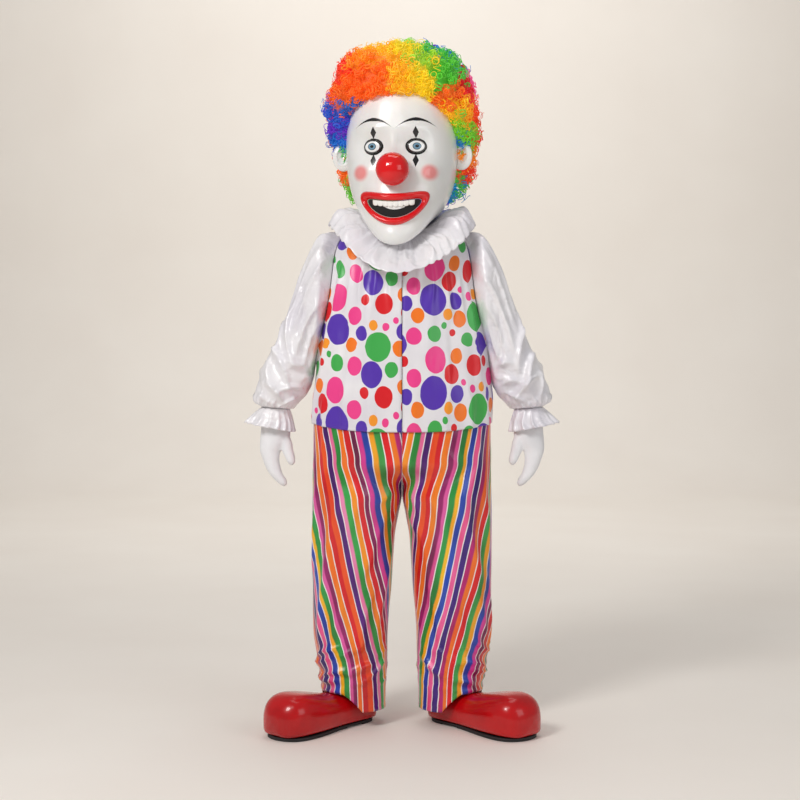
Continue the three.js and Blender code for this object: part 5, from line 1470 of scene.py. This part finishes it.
def make_trousers():
    for name, mirror, behind, folds, seed, offset in LEG_PANELS:
        u, v = grid(58, 134)
        share = 1 - u if behind else u
        hem = hem_height(share[:1], behind)
        z = mix(hem, LEG_TOP, v)
        p = leg_point(share, z, behind, leg_creases(share, z, hem, folds, seed))
        p[..., 0] = np.maximum(p[..., 0], 0.4)
        roll = 0.8 * hump(z - hem - 9, 2.2) - 0.9 * hump(z - hem - 13, 2)
        flat = stripe_place(p, z, behind, offset)
        panel = cloth_mesh(f"trousers_{name}_satin", p, roll, -SATIN, flat, mirror=mirror)
        worn(panel, f"trousers_{name}", "striped_satin", STRIPED)


WAIST = table(
    "side_z front_z back_z half front back",
    (0, 0, 0, 238, 140, 133), (0, 0, 0, 238, 140, 133))
BAND_HEIGHT, BAND_WALL = 34, 3


def make_waistband():
    u, v = grid(280, 10)
    p = ring(WAIST, v, u * 360, BODY_POWER)
    p[..., 2] = LEG_TOP + 0.3 + v * BAND_HEIGHT
    ribs = 0.9 * np.abs(np.sin(np.pi * v * 5)) ** 0.5 - 0.9 + 0.8 * gathers(u, 110, 0.3, 9)
    band = cloth_mesh("waistband_elastic", p, ribs - 0.6, -BAND_WALL, closed=True)
    worn(band, "waistband", "elastic", ELASTIC)


# Shoes, made along X from the ankle and then turned out

SHOE_WALL = 2.6
SHOE_FLOOR = SOLE_THICKNESS + 0.3
# Walking creases: place along, across, lean, half length, half width and height
SHOE_FOLDS = [(78, 0, 4, 60, 5, -1.6), (96, 6, -6, 55, 5, -1.4), (116, -8, 7, 50, 6, -1.2),
              (134, 4, -3, 46, 6, -0.9)]
COLLAR_LONG, COLLAR_WIDE = 52, 35
# Parts of the upper, from one place along the shoe to another
UPPER = (("vamp", 64.15, 400), ("quarter", -3.85, 63.85), ("heel_counter", -200, -4.15))
# Edge of the sole from the floor up: inset and height
SOLE_EDGE = ((1.4, 0.0), (0.3, 0.7), (0.0, 1.6), (0.0, 4.0), (0.7, 4.5), (0.7, 5.1), (0.0, 5.6), (0.0, 8.6),
             (0.4, 9.3), (1.6, SOLE_THICKNESS))
SOLE_MIDDLE = 105


def shoe_skin(grow):
    """Rings of the upper's form from heel to toe, moved out by grow."""
    u, v = grid(72, 80)
    row = row_at(SHOE, mix(v, ease(0, 1, v), 0.6) * 14)
    c, s = np.cos(u * TURN), np.sin(u * TURN)
    widest = mix(row["low"], row["top"], SHOE_WIDEST)
    across = np.maximum(0, row["half"]) * np.where(s > 0, bend(c, 0.8), bend(c, 0.36))
    z = np.where(s > 0, widest + (row["top"] - widest) * np.abs(s) ** 0.85,
                 widest - (widest - row["low"]) * np.abs(s) ** 0.36)
    p = xyz(row["u"], across, np.maximum(z, SHOE_FLOOR))
    if grow:
        p = raised(p, grow, closed=True)
        p[..., 2] = np.maximum(p[..., 2], SHOE_FLOOR - min(grow, 0))
    return p


def shoe_creases(p):
    """Small walking creases across the vamp."""
    along_shoe, across, up = p[..., 0], p[..., 1], p[..., 2]
    sink = sum(high * hump(along_shoe - at - lean * across / 40 - 0.004 * (across - mid) ** 2, wide)
               * hump(across - mid, long) for at, mid, lean, long, wide, high in SHOE_FOLDS)
    return sink * ease(60, 85, up)


def sole_block():
    t = mix(0.35, 13.65, (1 - np.cos(np.linspace(0, np.pi, 60))) / 2)
    length = SOLE_MIDDLE + (along(SHOE["u"], t) - SOLE_MIDDLE) * 0.95
    half = np.maximum(along(SHOE["half"], t) - 7, 4)
    edge = np.concatenate([np.stack([length, -half], -1), np.stack([length, half], -1)[::-1]])
    edge = np.concatenate([edge, edge[:1]])
    return np.stack([xyz(115 + (edge[:, 0] - 115) * (1 - inset / 190), edge[:, 1] * (1 - inset / 60), z)
                     for inset, z in SOLE_EDGE])


def box_mesh(name, low, high):
    x, y, z = np.meshgrid(*zip(low, high), indexing="ij")
    points = np.stack([x.ravel(), y.ravel(), z.ravel()], -1).astype(float)
    faces = [(0, 1, 3, 2), (4, 6, 7, 5), (0, 4, 5, 1), (2, 3, 7, 6), (0, 2, 6, 4), (1, 5, 7, 3)]
    return mesh_object(name, points, faces)


def shoe_parts():
    """The upper's parts and the sole, before they are turned out."""
    skin = shoe_skin(0)
    skin = raised(skin, shoe_creases(skin), closed=True)
    skin[..., 2] = np.maximum(skin[..., 2], SHOE_FLOOR)
    upper = closed_skin("upper_form", skin)
    cut(upper, closed_skin("upper_hollow", shoe_skin(-SHOE_WALL)))
    turn = np.linspace(0, TURN, 49)
    collar = [xyz(COLLAR_LONG * np.cos(turn), COLLAR_WIDE * np.sin(turn), z) for z in (80.0, 140.0)]
    cut(upper, closed_skin("collar_hole", np.stack(collar)))
    parts = {}
    for part, low, high in UPPER:
        side = box_mesh("side_" + part, (low, -200, -50), (high, 200, 300))
        parts[part] = cut(placed(part, upper.data.copy()), side, "INTERSECT")
    bpy.data.meshes.remove(upper.data)
    arch = box_mesh("arch", (-8, -150, -5), (60, 150, 4))
    parts["sole"] = cut(closed_skin("sole_form", sole_block()), arch)
    return parts


def make_shoes():
    for part, form in shoe_parts().items():
        points, faces = taken(form)
        finish = ("sole", RUBBER) if part == "sole" else ("shoe_red", SHOE_RED)
        for name, side in SIDES:
            turn = -TURNOUT if side > 0 else TURNOUT + np.pi
            c, s = np.cos(turn), np.sin(turn)
            turned = xyz(points[:, 0] * c - points[:, 1] * s + side * ANKLE[0],
                         points[:, 0] * s + points[:, 1] * c + ANKLE[1], points[:, 2])
            piece = tidy(mesh_object(f"shoe_{part}_{name}_form", turned, faces), 40)
            worn(piece, f"shoe_{part}_{name}", *finish)


# Stage

FLOOR_HALF, FLOOR_BACK, BACKDROP_CURVE = 9000.0, 6000, 1800
# Soft lights: name, place, aim, size in metres, watts and tint
LIGHTS = (
    ("key_light", (-2.4, -3.4, 2.2), (0, 0, -0.4), 1.2, 112, (1.0, 0.98, 0.96)),
    ("fill_light", (3.2, -3.0, 0.6), (0, 0, -0.6), 2.2, 30, (0.97, 0.98, 1.0)),
    ("head_light", (-0.7, -2.6, 1.7), (0, 0, 0.35), 0.9, 7, (1.0, 1.0, 1.0)),
    ("top_light", (0.3, 0.6, 3.0), (0, 0, 0), 2.2, 36, (1.0, 1.0, 1.0)),
    ("backdrop_light", (0.0, 4.2, 3.4), (0, 7.4, 0.6), 4.0, 130, (1.0, 0.98, 0.95)))
ROOM_TINT, ROOM_LIGHT = (1.0, 0.985, 0.97, 1), 0.31
CAMERA_PLACE, CAMERA_DOWN, CAMERA_LENS, CAMERA_SENSOR = (-0.006, -5.0, -0.24), 2.92, 77.6, 36


def make_floor():
    """A pale paper floor that curves up into a backdrop."""
    turn = np.linspace(0, np.pi / 2, 24)
    curve = zip(FLOOR_BACK + BACKDROP_CURVE * np.sin(turn), BACKDROP_CURVE - BACKDROP_CURVE * np.cos(turn))
    y, z = np.array([(-FLOOR_HALF, 0.0), *curve, (FLOOR_BACK + BACKDROP_CURVE, FLOOR_HALF)]).T
    points = xyz(np.linspace(-FLOOR_HALF, FLOOR_HALF, 19)[None, :], y[:, None], z[:, None])
    faces = grid_faces(numbered(points)).tolist()
    floor = smooth(mesh_object("studio_floor", points.reshape(-1, 3) - [0, 0, 0.2], faces))
    dye = Dye("studio_paper", Roughness=0.7)
    place = dye.place()
    colour = dye.blend(dye.noise(place, 1.5, 3.0), rgb("f6f1ea"), rgb("efe8e0"))
    floor.data.materials.append(dye.finish(colour, [dye.noise(place, 90.0) * 0.0002]))


def make_lights():
    for name, spot, aim, size, power, tint in LIGHTS:
        lamp = bpy.data.lights.new(name, "AREA")
        lamp.size = size
        lamp.energy = power
        lamp.color = tint
        x, y, z = np.array(aim) - np.array(spot)
        holder = placed(name, lamp)
        holder.rotation_euler = (np.arctan2(np.hypot(x, y), -z), 0, np.arctan2(y, x) - np.pi / 2)
        holder.location = spot
    world = bpy.data.worlds.new("soft_room")
    bpy.context.scene.world = world
    world.use_nodes = True
    world.node_tree.nodes["Background"].inputs[0].default_value = ROOM_TINT
    world.node_tree.nodes["Background"].inputs[1].default_value = ROOM_LIGHT


def make_camera():
    lens = bpy.data.cameras.new("camera")
    lens.lens = CAMERA_LENS
    lens.sensor_width = CAMERA_SENSOR
    camera = placed("camera", lens)
    camera.location = CAMERA_PLACE
    camera.rotation_euler = (np.radians(90 - CAMERA_DOWN), 0, 0)
    bpy.context.scene.camera = camera
    bpy.context.scene.view_settings.view_transform = "Standard"


make_mask()
make_lips()
make_gauze()
make_teeth()
make_nose()
make_eyes()
make_ears()
make_wig()
make_ruff()
make_blouse()
make_sleeves()
make_gloves()
make_trousers()
make_waistband()
make_shoes()
make_floor()
make_lights()
make_camera()
